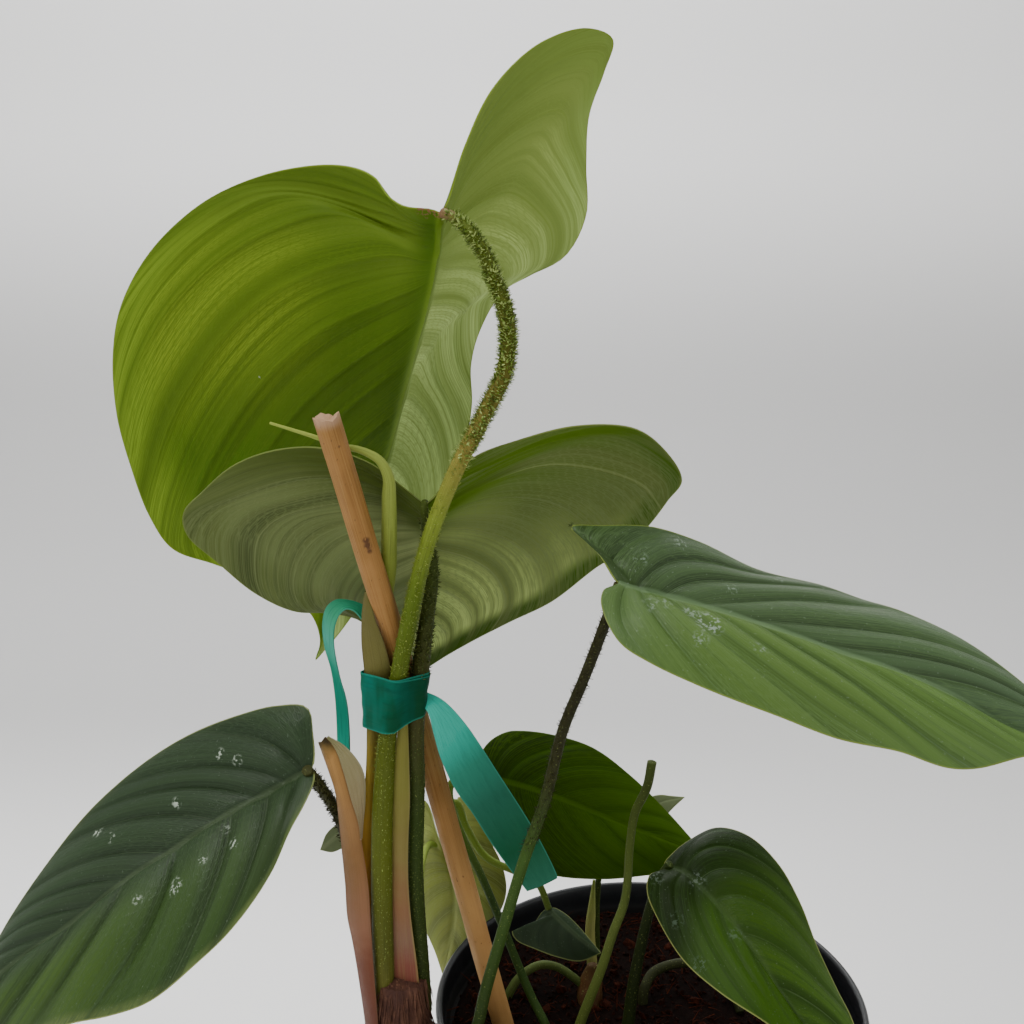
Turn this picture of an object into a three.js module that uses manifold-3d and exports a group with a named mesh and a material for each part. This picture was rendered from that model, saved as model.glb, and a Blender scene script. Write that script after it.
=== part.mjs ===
// A fuzzy petiole philodendron in a nursery pot. A creeping stem leans out over the rim and
// carries the tall leaves, which are taped to a wooden stake. Smaller leaves grow from the soil.
// Millimetres, +Z up, origin in the middle of the pot's underside.
import * as THREE from 'three';
import { mergeVertices } from 'three/addons/utils/BufferGeometryUtils.js';
import Module from 'manifold-3d';

const wasm = await Module();
wasm.setup();

// Pot and soil
const POT_HEIGHT = 145;
const RIM_RADIUS = 80;
const RIM_BAND = 17;
const FOOT_RADIUS = 57;
const WALL = 1.8;
const FLOOR = 3;
const POT_SIDES = 32;
const RIM_STEP = 5;
const DRAIN_HOLES = 6;
const DRAIN_RADIUS = 4.5;
const DRAIN_RING = 42;
const SOIL_TOP = 134;
const SOIL_RINGS = [62, 45, 25, 0];
const SOIL_ROUGHNESS = 1.3;

// The rim's outline from the step under it over the lip to its inner foot: how far each point
// lies inside the rim's radius, and above the step
const RIM_OUTLINE = [[RIM_STEP, 0], [1.6, 2], [0.6, 14], [0, 14.6], [0.3, 16.6], [1.6, RIM_BAND],
  [2.6, 15.8], [3.6, 4], [RIM_STEP + WALL, 1.6]];

// Clearance between pieces that touch, the size of the splinters that a cut leaves and that are
// smoothed away, and the thickness of leaves, husks and tape
const GAP = 0.3;
const SLIVER = 0.06;
const BLADE_CLEAR = 0.45;
const BLADE = 0.8;
const HUSK = 0.8;
const TAPE = 0.6;

// Wooden stake
const STAKE_RADIUS = 3.6;
const STAKE_SIDES = 9;

// Scales and bristles: how deep their roots sink in, how far they lean towards the blade for
// their length, and their half width, for a length of none and for each millimetre
const SPIKE_SINK = 1.1;
const SPIKE_LEAN = 0.45;
const SPIKE_WIDTH = [0.42, 0.16];

// A blade narrower than this from rib to margin is less puffed and pleated
const FULL_WIDTH = 25;

// Places on the plant are given as [across, down, depth]: the sight line through a 1024-square
// view of the plant, and the y, in millimetres, at which the place lies on that line.
const EYE = new THREE.Vector3(-51.5, -419.3, 451);
const PITCH = THREE.MathUtils.degToRad(15.67);
const FOCAL = 1300;
const MIDDLE = 512;

function spot([across, down, depth]) {
  const aside = (across - MIDDLE) / FOCAL;
  const drop = (down - MIDDLE) / FOCAL;
  const forward = Math.cos(PITCH) - drop * Math.sin(PITCH);
  const upward = -Math.sin(PITCH) - drop * Math.cos(PITCH);
  const sight = new THREE.Vector3(aside, forward, upward);
  return EYE.clone().addScaledVector(sight, (depth - EYE.y) / forward);
}

const line = (points) => new THREE.CatmullRomCurve3(points, false, 'centripetal');
const sighted = (places) => line(places.map(spot));

// Blades: the rib runs from the joint to the tip, and both margins from the sinus to the tip.
// Port is the left margin for one who looks from the joint to the tip. Upper is 1 where the
// view shows the blade's upper side. Puff lifts each half, and veins counts its side veins,
// which arch away from the tip, but hollow towards it in the lobes, up to the share turn.
const BLADES = {
  tall_leaf_blade: {
    upper: -1, rows: 28, columns: 5, veins: 7, pleat: 2.4, puff: [3, 5], arch: 0.16,
    hollow: [0.1, 0.26], turn: [0.32, 0.2],
    rib: [[441, 213, -20], [438, 250, -14], [429, 298, -6], [412, 364, 8], [400, 409, 19],
      [388, 457, 30], [372, 505, 41], [350, 570, 53], [330, 622, 60], [316, 660, 64]],
    port: [[447, 203, -19], [464, 149, -10], [494, 87, 2], [540, 43, 13], [588, 28, 22],
      [613, 40, 28], [604, 72, 29], [589, 115, 30], [586, 165, 32], [586, 215, 31],
      [565, 256, 29], [528, 276, 27], [503, 291, 27], [480, 330, 29], [471, 365, 32],
      [470, 398, 36], [454, 446, 43], [425, 496, 51], [385, 570, 58], [350, 619, 62],
      [334, 640, 63], [316, 660, 64]],
    starboard: [[431, 209, -19], [404, 206, -16], [388, 196, -12], [375, 178, -6],
      [355, 168, 0], [320, 165, 8], [260, 176, 18], [202, 203, 26], [150, 252, 33],
      [121, 306, 38], [113, 355, 42], [117, 415, 46], [131, 467, 50], [150, 517, 54],
      [173, 549, 58], [214, 564, 60], [258, 580, 62], [296, 602, 63], [312, 616, 63.5],
      [320, 640, 64], [316, 660, 64]],
  },
  broad_leaf_blade: {
    upper: -1, rows: 24, columns: 5, veins: 6, pleat: 1.8, puff: [2, 2], arch: 0.16,
    hollow: [0.1, 0.02], turn: [0.24, 0.18],
    rib: [[425, 505, -33], [424, 530, -28], [422, 560, -21], [419, 600, -10], [415, 640, 2],
      [410, 680, 14]],
    port: [[433, 498, -33], [450, 478, -33], [476, 456, -33], [516, 441, -34], [576, 426, -34],
      [633, 428, -31], [663, 448, -26], [682, 480, -20], [668, 500, -15], [649, 525, -10],
      [625, 550, -6], [598, 566, -2], [552, 601, 4], [509, 622, 8], [470, 642, 11],
      [439, 660, 13], [410, 680, 14]],
    starboard: [[418, 499, -33], [403, 487, -33], [368, 462, -33], [322, 448, -33],
      [276, 450, -31], [234, 465, -27], [202, 492, -22], [183, 514, -17], [188, 536, -13],
      [216, 561, -9], [255, 593, -4], [294, 611, 0], [330, 613, 4], [361, 621, 7],
      [388, 650, 11], [410, 680, 14]],
  },
  right_leaf_blade: {
    upper: 1, rows: 24, columns: 4, veins: 6, pleat: 1.7, puff: [2, 3], arch: 0.14,
    hollow: [0.2, 0], turn: [0.22, 0.1],
    rib: [[619, 583, -56], [653, 593, -57], [715, 610, -59], [792, 635, -61], [838, 652, -62],
      [885, 667, -63], [947, 693, -64], [1002, 726, -65], [1040, 741, -65], [1080, 752, -66]],
    port: [[614, 578, -55], [600, 556, -50], [582, 538, -47], [570, 527, -45], [600, 526, -42],
      [650, 527, -38], [699, 542, -34], [758, 570, -32], [823, 586, -31], [863, 600, -32],
      [900, 611, -34], [959, 638, -40], [1002, 667, -47], [1040, 699, -54], [1064, 726, -61],
      [1080, 752, -66]],
    starboard: [[614, 587, -57], [604, 590, -59], [601, 604, -63], [619, 642, -71],
      [650, 663, -76], [699, 686, -81], [777, 716, -85], [838, 739, -86], [900, 752, -84],
      [947, 768, -82], [975, 769, -80], [1024, 757, -73], [1055, 753, -69], [1080, 752, -66]],
  },
  left_leaf_blade: {
    upper: 1, rows: 24, columns: 4, veins: 6, pleat: 2, puff: [3, 2], arch: 0.14,
    hollow: [0, 0.05], turn: [0.12, 0.16],
    rib: [[311, 768, -41], [280, 787, -42], [227, 815, -44], [173, 850, -46], [125, 881, -48],
      [80, 917, -49], [27, 954, -50], [0, 973, -51], [-40, 1003, -52], [-72, 1036, -53]],
    port: [[314, 774, -43], [313, 784, -46], [304, 805, -51], [291, 829, -56], [269, 877, -64],
      [232, 929, -71], [195, 965, -75], [149, 1002, -77], [110, 1016, -77], [75, 1023, -75],
      [25, 1037, -69], [-25, 1043, -61], [-72, 1036, -53]],
    starboard: [[314, 760, -40], [313, 735, -37], [308, 708, -33], [277, 706, -28],
      [240, 715, -24], [191, 734, -20], [139, 767, -19], [88, 813, -22], [40, 874, -28],
      [11, 917, -34], [-15, 962, -41], [-45, 1003, -48], [-72, 1036, -53]],
  },
  back_leaf_blade: {
    upper: 1, rows: 18, columns: 4, veins: 6, pleat: 1, puff: [2, 2], arch: 0.14,
    hollow: [0, 0], turn: [0.2, 0.2],
    rib: [[487, 777, 30], [520, 785, 30], [559, 798, 29], [625, 825, 27], [689, 850, 24],
      [716, 866, 23]],
    port: [[484, 769, 31], [480, 757, 33], [489, 742, 37], [507, 732, 40], [523, 731, 41],
      [553, 735, 42], [593, 748, 41], [633, 778, 38], [670, 815, 33], [694, 842, 27],
      [716, 866, 23]],
    starboard: [[484, 785, 29], [483, 812, 25], [497, 842, 21], [525, 866, 18], [557, 876, 17],
      [607, 879, 17], [650, 875, 19], [690, 872, 21], [716, 866, 23]],
  },
  front_leaf_blade: {
    upper: 1, rows: 20, columns: 4, veins: 5, pleat: 1.2, puff: [3, 2], arch: 0.14,
    hollow: [0, 0], turn: [0.2, 0.2],
    rib: [[668, 868, -3], [684, 872, -7], [703, 890, -13], [725, 915, -21], [752, 950, -32],
      [780, 992, -43], [812, 1035, -52], [862, 1088, -62]],
    port: [[664, 864, -1], [673, 853, 2], [687, 842, 6], [717, 828, 9], [748, 836, 6],
      [778, 864, -2], [800, 903, -12], [817, 947, -25], [837, 990, -37], [852, 1020, -46],
      [862, 1055, -55], [862, 1088, -62]],
    starboard: [[661, 871, -5], [649, 876, -9], [647, 893, -14], [657, 918, -20],
      [683, 960, -32], [720, 993, -44], [767, 1024, -54], [815, 1060, -60], [862, 1088, -62]],
  },
  old_leaf_blade: {
    upper: 1, rows: 12, columns: 3, veins: 4, pleat: 1, puff: [2, 2], arch: 0.1,
    hollow: [0, 0], turn: [0.4, 0.4],
    rib: [[441, 846, 63], [450, 868, 62], [455, 892, 62], [453, 930, 63], [443, 975, 64]],
    port: [[447, 840, 62], [453, 818, 61], [460, 796, 60], [474, 808, 60], [490, 840, 61],
      [503, 868, 62], [506, 893, 63], [496, 918, 64], [470, 945, 64], [443, 975, 64]],
    starboard: [[435, 839, 63], [432, 815, 63], [424, 800, 63], [413, 812, 64], [410, 850, 65],
      [414, 895, 65], [425, 928, 65], [435, 951, 65], [443, 975, 64]],
  },
  soil_leaf_blade: {
    upper: 1, rows: 12, columns: 2, veins: 4, pleat: 0.5, puff: [1, 1], arch: 0.1,
    hollow: [0, 0], turn: [0.2, 0.3],
    rib: [[548, 909, 20], [560, 920, 17], [578, 936, 13], [601, 953, 10]],
    port: [[554, 908, 21], [565, 914, 20], [577, 925, 17], [590, 940, 13], [601, 953, 10]],
    starboard: [[543, 911, 20], [533, 925, 17], [524, 930, 15], [512, 932, 13], [516, 940, 12],
      [535, 949, 11], [557, 957, 10], [580, 961, 10], [601, 953, 10]],
  },
  hidden_leaf_blade: {
    upper: 1, rows: 8, columns: 2, veins: 2, pleat: 0.4, puff: [1, 1], arch: 0.1,
    hollow: [0, 0], turn: [0.2, 0.2],
    rib: [[610, 850, 50], [632, 826, 50], [658, 803, 49], [685, 797, 47]],
    port: [[610, 841, 50], [622, 820, 50], [640, 802, 50], [658, 795, 49], [672, 796, 48],
      [685, 797, 47]],
    starboard: [[617, 854, 50], [640, 842, 49], [660, 822, 48], [673, 808, 47], [685, 797, 47]],
  },
  bud_leaf_blade: {
    upper: 1, rows: 8, columns: 2, veins: 2, pleat: 0.3, puff: [1, 1], arch: 0.1,
    hollow: [0, 0], turn: [0.2, 0.2],
    rib: [[352, 828, -14], [340, 834, -15], [320, 850, -18]],
    port: [[355, 833, -15], [346, 845, -17], [333, 852, -18], [320, 850, -18]],
    starboard: [[349, 823, -13], [338, 824, -14], [327, 833, -16], [320, 850, -18]],
  },
};

// Petioles and other round stalks, from the foot upwards: places, radii along them, sides,
// steps, and the scales or bristles that cover a stretch of them.
const STALKS = {
  tall_leaf_petiole: {
    at: [[385, 1010, -37], [383, 962, -38], [381, 900, -38], [381, 823, -38.5], [385, 777, -39],
      [390, 733, -39.5], [397, 678, -39.5], [408, 622, -39.5], [427, 546, -40],
      [454, 475, -40], [487, 409, -38], [503, 376, -36], [508, 347, -34], [506, 314, -32],
      [495, 281, -30], [483, 252, -28], [470, 232, -26], [453, 217, -23], [443, 213, -20.3]],
    radii: [3.5, 3.4, 3.2, 3, 2.7, 2.6, 2.4], sides: 8, steps: 40,
    scales: [{ from: 0.45, to: 0.68, count: 46, length: 1.7 },
      { from: 0.68, to: 0.985, count: 130, length: 2.9 }],
  },
  broad_leaf_petiole: {
    at: [[424, 1010, -34], [422, 962, -34], [419, 916, -34], [416, 823, -34], [417, 777, -35],
      [416, 727, -36.5], [419, 653, -36], [425, 622, -34.5], [432, 575, -30.5], [427, 535, -32],
      [424, 508, -34.5], [425, 498, -31]],
    radii: [2.5, 2.4, 2.4, 2.3, 2.2], sides: 7, steps: 26,
    scales: [{ from: 0.12, to: 0.53, count: 30, length: 1.3 },
      { from: 0.71, to: 0.97, count: 40, length: 1.9 }],
  },
  right_leaf_petiole: {
    at: [[466, 1062, -46], [472, 1042, -45], [478, 1024, -44], [485, 993, -44], [503, 930, -45],
      [523, 863, -47], [545, 800, -49], [563, 730, -51], [583, 681, -53], [594, 653, -54],
      [607, 618, -55], [619, 584, -55.5]],
    radii: [2.1, 2, 1.9, 1.8, 1.7, 1.6], sides: 7, steps: 24,
    scales: [{ from: 0.62, to: 0.97, count: 48, length: 1.5 }],
  },
  left_leaf_petiole: {
    at: [[392, 1006, -29], [380, 975, -28], [364, 905, -27.5], [350, 850, -27], [338, 815, -30],
      [325, 793, -35], [313, 777, -40], [307, 770, -43]],
    radii: [2.1, 2, 1.9, 1.8], sides: 6, steps: 18,
    scales: [{ from: 0.2, to: 0.95, count: 44, length: 1.6 }],
  },
  back_leaf_petiole: {
    at: [[556, 1055, -12], [545, 1024, -9], [533, 1000, -4], [523, 977, 0], [500, 920, 8],
      [480, 873, 14], [467, 847, 17], [453, 812, 22], [450, 787, 26], [462, 774, 28.5],
      [489, 776, 30]],
    radii: [1.7, 1.6, 1.5, 1.5, 1.4], sides: 6, steps: 20,
  },
  front_leaf_petiole: {
    at: [[622, 1058, -13], [628, 1024, -10], [633, 987, -7], [640, 950, -4], [650, 908, -2],
      [659, 880, -1], [670, 864, -3]],
    radii: [2.4, 2.2, 1.9, 1.7], sides: 7, steps: 14,
  },
  old_leaf_petiole: {
    at: [[418, 1000, -30], [418, 975, -24], [419, 935, -5], [420, 893, 20], [422, 862, 45],
      [429, 845, 58], [440, 845, 64]],
    radii: [1.6, 1.5, 1.4], sides: 6, steps: 16,
  },
  soil_leaf_petiole: {
    at: [[494, 998, 22], [490, 984, 22], [478, 935, 24], [462, 880, 26], [452, 830, 27],
      [449, 805, 28], [456, 803, 29], [467, 829, 30], [486, 857, 29], [517, 872, 27],
      [537, 882, 24], [549, 909, 20]],
    radii: [1.7, 1.6, 1.5, 1.3], sides: 6, steps: 20,
  },
  hidden_leaf_petiole: {
    at: [[597, 978, 41], [597, 955, 42], [597, 900, 48], [601, 868, 50], [613, 845, 50]],
    radii: [1.3, 1.2], sides: 6, steps: 8,
  },
  bud_leaf_stalk: {
    at: [[396, 1004, -27], [388, 965, -23], [376, 900, -19], [363, 850, -16], [351, 829, -14]],
    radii: [1.2, 1], sides: 5, steps: 9,
  },
  rolled_new_leaf: {
    at: [[375, 664, -32.5], [381, 620, -32], [388, 575, -32], [389, 540, -34.5], [389, 500, -39],
      [388, 476, -41], [379, 460, -41.5], [360, 450, -41], [340, 446, -40.6], [315, 437, -40],
      [296, 431, -39], [270, 423, -38]],
    radii: [2.7, 2.6, 2.5, 2.5, 2.4, 2.2, 1.4, 0.9, 0.6, 0.4], sides: 7, steps: 21,
  },
  cut_petiole: {
    at: [[572, 1050, -12], [580, 1024, -10], [602, 967, -8], [613, 933, -7], [625, 900, -6],
      [630, 843, -6], [635, 813, -5], [647, 787, -5], [652, 762, -5]],
    radii: [1.9, 1.8, 1.6, 1.5, 1.7], sides: 7, steps: 14,
  },
  young_spear: {
    at: [[593, 990, 30], [592, 962, 32], [590, 935, 33], [592, 905, 34], [594, 880, 35]],
    radii: [2, 2.1, 1.8, 0.5], sides: 6, steps: 10,
  },
  side_crown: {
    at: [[589, 1012, 11], [590, 990, 16], [592, 975, 18], [594, 965, 19]],
    radii: [4.6, 5, 4.4, 2.4], sides: 9, steps: 6,
  },
  left_root: {
    at: [[504, 1016, 12], [508, 996, 14], [520, 977, 17], [540, 965, 20], [557, 967, 20],
      [573, 977, 18], [588, 990, 16]],
    radii: [1.8, 1.7, 1.6, 1.6], sides: 7, steps: 16,
  },
  right_root: {
    at: [[642, 1008, 11], [645, 987, 14], [653, 973, 18], [670, 965, 20], [692, 963, 20],
      [715, 972, 17], [733, 990, 12], [740, 1012, 6]],
    radii: [2, 1.9, 1.8, 1.6], sides: 7, steps: 16,
  },
};

// Creeping stem, from the crown down over the rim into the soil, millimetres
const STEM_WAY = [[-89.5, -34, 175.3], [-89.5, -35, 165], [-87, -38, 157.4], [-78, -43, 154],
  [-65, -46, 153.8], [-52, -46, 149.5], [-43, -44, 139], [-38, -43, 120]];
const STEM_RADII = [9.3, 9.3, 8.8, 7.4, 7, 7, 7, 6.5];

// Stake, from its foot in the soil to the broken top
const STAKE_WAY = [[511, 1062, -4], [400, 664, -30.5], [326, 416, -48]];

// Husks: two edges from the foot upwards, and how far the middle bulges towards the view
const HUSKS = {
  split_sheath: {
    bulge: 2.2, rows: 15,
    left: [[368, 1046, -38], [366, 1024, -38], [359, 975, -38], [353, 940, -38],
      [348, 916, -38], [346, 885, -38], [343, 854, -38], [340, 823, -38], [336, 792, -38],
      [328, 767, -38], [319, 742, -38]],
    right: [[379, 1046, -42], [377, 1010, -43], [374, 975, -42.4], [372, 931, -42], [370, 885, -42],
      [365, 850, -41], [361, 825, -40], [364, 800, -39], [362, 772, -38], [350, 752, -38],
      [326, 735, -38]],
  },
  brown_sheath: {
    bulge: 0.8, rows: 14,
    left: [[380, 1004, -36], [373, 940, -36], [366, 857, -36], [363, 817, -36], [366, 770, -36.5],
      [367, 729, -37], [366.5, 700, -37], [364.5, 670, -37], [362, 640, -36], [363, 610, -35],
      [366, 591, -34]],
    right: [[388, 1004, -33], [379, 940, -33.4], [376, 857, -33.6], [375, 817, -33.8],
      [377, 770, -34], [379, 729, -35], [382, 700, -36.4], [386, 670, -37.6], [382, 645, -38],
      [375, 618, -37.4], [369, 592, -35]],
  },
  pink_sheath: {
    bulge: 1, rows: 11,
    left: [[398, 1004, -38], [395, 976, -38], [394, 900, -38.5], [394, 838, -39], [397, 777, -39.5],
      [401, 735, -40], [402, 715, -40]],
    right: [[421, 1004, -38.6], [418, 976, -39], [411, 900, -39], [408, 850, -39], [411, 777, -39.5],
      [408.5, 735, -40], [406, 715, -40]],
  },
};

// Tape: the band round the bundle, and two free lengths given by their edges
const WRAP_LEVELS = [727, 703, 677];
const WRAP_POINTS = 26;
const WRAP_SLACK = 0.85;
const WRAP_HOLDS = ['tall_leaf_petiole', 'broad_leaf_petiole', 'wooden_stake'];
const RIBBONS = {
  tape_loop: {
    rows: 20,
    left: [[408, 704, -27], [410, 694, -22], [403, 660, -17], [385, 622, -14], [363, 605, -12],
      [347, 600, -12], [336, 600, -12], [327, 607, -12], [323, 622, -12], [325, 647, -12],
      [331, 668, -12], [335, 693, -12], [337, 721, -12], [338, 765, -12]],
    right: [[396, 706, -31], [396, 696, -27], [389, 664, -25], [376, 636, -24], [363, 621, -24],
      [354, 611, -24], [346, 609, -24], [339, 615, -24], [334, 630, -24], [334, 647, -24],
      [340, 678, -24], [346, 699, -24], [349, 724, -24], [350, 768, -24]],
  },
  tape_tail: {
    rows: 16,
    left: [[418, 706, -37], [431, 724, -38], [441, 758, -36], [455, 789, -35], [473, 814, -34],
      [486, 835, -33], [501, 857, -32], [527, 891, -30]],
    right: [[420, 690, -33], [441, 699, -34], [464, 722, -32], [498, 773, -30], [530, 823, -29],
      [544, 848, -28], [557, 876, -27], [557, 878, -27]],
  },
};

// Colours, roughness
const FINISHES = {
  pot: ['#101113', 0.35], soil: ['#2a1712', 1], stem: ['#4a2c20', 0.95], stake: ['#b98b5c', 0.75],
  tall: ['#6f8f1f', 0.5], broad: ['#6c8050', 0.55], upper: ['#2f5428', 0.35], dark: ['#1f3d2b', 0.4],
  back: ['#2b430d', 0.5], old: ['#8d9b3a', 0.6], petiole: ['#5c7027', 0.8], bristly: ['#33401f', 0.85],
  young: ['#9cab55', 0.6], husk: ['#b0683f', 0.7], pink: ['#b76a5a', 0.6], tape: ['#0f9c86', 0.25],
};

const plant = new THREE.Group();

function addPiece(name, geometry, finish) {
  const [color, roughness] = FINISHES[finish];
  geometry.computeVertexNormals();
  const material = new THREE.MeshStandardMaterial({ color, roughness, metalness: 0 });
  const piece = new THREE.Mesh(geometry, material);
  piece.name = name;
  plant.add(piece);
}

// Solids for joining and cutting
function toSolid(geometry) {
  const bare = geometry.clone();
  bare.deleteAttribute('normal');
  bare.deleteAttribute('uv');
  const merged = mergeVertices(bare, 1e-3);
  const vertProperties = new Float32Array(merged.attributes.position.array);
  const triVerts = new Uint32Array(merged.index.array);
  return new wasm.Manifold(new wasm.Mesh({ numProp: 3, vertProperties, triVerts }));
}

function toGeometry(solid) {
  const { vertProperties, triVerts } = solid.asOriginal().simplify(SLIVER).getMesh();
  const geometry = new THREE.BufferGeometry();
  geometry.setAttribute('position', new THREE.BufferAttribute(new Float32Array(vertProperties), 3));
  geometry.setIndex(new THREE.BufferAttribute(new Uint32Array(triVerts), 1));
  return geometry;
}

// What is left of a piece after its neighbours are cut from it, without loose scraps
function cutClear(solid, neighbours) {
  const rest = neighbours.reduce((left, other) => left.subtract(other), solid);
  return rest.decompose().reduce((a, b) => (a.volume() > b.volume() ? a : b));
}

// A seeded source of even random numbers
function dice(seed) {
  let state = seed;
  return () => {
    state = (state + 0x6d2b79f5) | 0;
    let mixed = Math.imul(state ^ (state >>> 15), 1 | state);
    mixed = (mixed + Math.imul(mixed ^ (mixed >>> 7), 61 | mixed)) ^ mixed;
    return ((mixed ^ (mixed >>> 14)) >>> 0) / 4294967296;
  };
}

function along(values, share) {
  const place = share * (values.length - 1);
  const index = Math.min(Math.floor(place), values.length - 2);
  return THREE.MathUtils.lerp(values[index], values[index + 1], place - index);
}

function meshOf(points, faces) {
  const geometry = new THREE.BufferGeometry();
  const numbers = points.flatMap((point) => point.toArray());
  geometry.setAttribute('position', new THREE.Float32BufferAttribute(numbers, 3));
  geometry.setIndex(faces.flat());
  return geometry;
}

// A round stalk with closed ends along a curve
function stalk(curve, radii, sides, steps, extra = 0) {
  const { tangents, normals, binormals } = curve.computeFrenetFrames(steps, false);
  const points = [];
  const faces = [];
  for (let step = 0; step <= steps; step += 1) {
    const centre = curve.getPointAt(step / steps);
    const onward = (step === steps ? extra : 0) - (step === 0 ? extra : 0);
    centre.addScaledVector(tangents[step], onward);
    const radius = along(radii, step / steps) + extra;
    for (let side = 0; side < sides; side += 1) {
      const turn = (2 * Math.PI * side) / sides;
      points.push(centre.clone()
        .addScaledVector(normals[step], radius * Math.cos(turn))
        .addScaledVector(binormals[step], radius * Math.sin(turn)));
    }
  }
  const foot = points.push(curve.getPointAt(0).addScaledVector(tangents[0], -extra)) - 1;
  const head = points.push(curve.getPointAt(1).addScaledVector(tangents[steps], extra)) - 1;
  for (let side = 0; side < sides; side += 1) {
    const next = (side + 1) % sides;
    for (let step = 0; step < steps; step += 1) {
      const low = step * sides;
      const high = low + sides;
      faces.push([low + side, low + next, high + next], [low + side, high + next, high + side]);
    }
    faces.push([foot, next, side], [head, steps * sides + side, steps * sides + next]);
  }
  return meshOf(points, faces);
}

// One leafy scale or bristle: a slim three-sided spike, its root sunk into the stalk
function spike(root, out, up, length, width) {
  const across = out.clone().cross(up).normalize();
  const base = root.clone().addScaledVector(out, -SPIKE_SINK);
  const tip = root.clone().addScaledVector(out, length).addScaledVector(up, length * SPIKE_LEAN);
  const points = [tip, base.clone().addScaledVector(across, width),
    base.clone().addScaledVector(across, -width), base.clone().addScaledVector(up, -width * 1.1)];
  return meshOf(points, [[0, 2, 1], [0, 3, 2], [0, 1, 3], [1, 2, 3]]);
}

// A stalk with its scales, each turned and sized at random, joined in one solid
function withScales(curve, shape, seed) {
  const random = dice(seed);
  const [least, more] = SPIKE_WIDTH;
  const parts = [toSolid(stalk(curve, shape.radii, shape.sides, shape.steps))];
  for (const stretch of shape.scales ?? []) {
    for (let index = 0; index < stretch.count; index += 1) {
      const share = THREE.MathUtils.lerp(stretch.from, stretch.to, (index + random()) / stretch.count);
      const up = curve.getTangentAt(share);
      const level = new THREE.Vector3(-up.y, up.x, 0.001).normalize();
      const out = level.applyAxisAngle(up, random() * 2 * Math.PI);
      const root = curve.getPointAt(share).addScaledVector(out, along(shape.radii, share) * 0.92);
      const length = stretch.length * (0.7 + 0.6 * random());
      parts.push(toSolid(spike(root, out, up, length, least + more * stretch.length)));
    }
  }
  return parts.reduce((whole, part) => whole.add(part));
}

// How often the directions in which a sheet gets its thickness are averaged with their neighbours
const NORMAL_PASSES = 3;

// A sheet given by rows of points, made into a closed solid, its outline moved out by spread.
// All points of a row may be one and the same.
function thicken(rows, thickness, spread = 0) {
  const points = [];
  const grid = rows.map((row) => row.map((point) => {
    const known = points.findIndex((other) => other.distanceTo(point) < 1e-3);
    return known >= 0 ? known : points.push(point) - 1;
  }));
  const faces = [];
  for (let row = 0; row + 1 < grid.length; row += 1) {
    for (let column = 0; column + 1 < grid[row].length; column += 1) {
      const [a, b] = [grid[row][column], grid[row][column + 1]];
      const [d, c] = [grid[row + 1][column], grid[row + 1][column + 1]];
      const portSide = column < (grid[row].length - 1) / 2;
      const halves = portSide ? [[a, b, c], [a, c, d]] : [[a, b, d], [b, c, d]];
      faces.push(...halves.filter(([p, q, r]) => p !== q && q !== r && r !== p));
    }
  }
  let normals = points.map(() => new THREE.Vector3());
  const edges = new Map();
  for (const [a, b, c] of faces) {
    const normal = points[b].clone().sub(points[a]).cross(points[c].clone().sub(points[a]));
    [a, b, c].forEach((corner) => normals[corner].add(normal));
    [[a, b], [b, c], [c, a]].forEach(([p, q]) => edges.set(`${p} ${q}`, [p, q]));
  }
  normals.forEach((normal) => normal.normalize());
  for (let pass = 0; pass < NORMAL_PASSES; pass += 1) {
    const calmed = normals.map((normal) => normal.clone());
    for (const [p, q] of edges.values()) {
      calmed[p].add(normals[q]);
      calmed[q].add(normals[p]);
    }
    normals = calmed.map((normal) => normal.normalize());
  }
  const outward = points.map(() => new THREE.Vector3());
  for (const [p, q] of edges.values()) {
    if (edges.has(`${q} ${p}`)) continue;
    const away = points[q].clone().sub(points[p]).cross(normals[p]).normalize();
    outward[p].add(away);
    outward[q].add(away);
  }
  points.forEach((point, index) => point.addScaledVector(outward[index].normalize(), spread));
  const shifted = (way) => points.map((point, index) => (
    point.clone().addScaledVector(normals[index], (way * thickness) / 2)));
  const shift = points.length;
  const all = faces.concat(faces.map(([a, b, c]) => [a + shift, c + shift, b + shift]));
  for (const [p, q] of edges.values()) {
    if (!edges.has(`${q} ${p}`)) all.push([q, p, p + shift], [q, p + shift, q + shift]);
  }
  return meshOf([...shifted(1), ...shifted(-1)], all);
}

// One point of a blade: share runs along the margin, reach from the rib out to the margin
const ribShare = (share) => 0.22 * share + 0.78 * share ** 2.1;

function bladePoint(lines, shape, side, share, reach) {
  const root = lines.rib.getPointAt(ribShare(share));
  const edge = lines[side].getPointAt(share);
  const forward = lines.rib.getTangentAt(ribShare(share));
  const outward = edge.clone().sub(root);
  const width = outward.length();
  const half = side === 'port' ? 0 : 1;
  const facing = forward.clone().cross(outward).normalize().multiplyScalar(1 - 2 * half);
  const past = THREE.MathUtils.smoothstep(share, 0.6 * shape.turn[half], 1.5 * shape.turn[half]);
  const arch = THREE.MathUtils.lerp(-shape.hollow[half], shape.arch, past);
  const bend = root.clone().add(edge).multiplyScalar(0.5).addScaledVector(forward, -arch * width);
  const point = root.multiplyScalar((1 - reach) ** 2)
    .addScaledVector(bend, 2 * reach * (1 - reach))
    .addScaledVector(edge, reach ** 2);
  const fullness = Math.min(1, width / FULL_WIDTH);
  const phase = (share * shape.veins) % 1;
  const quilt = shape.pleat * (4 * phase * (1 - phase) - 0.6) * Math.sin(Math.PI * reach ** 0.8);
  const puff = shape.puff[half] * 4 * reach * (1 - reach);
  return point.addScaledVector(facing, shape.upper * fullness * (quilt + puff));
}

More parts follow.
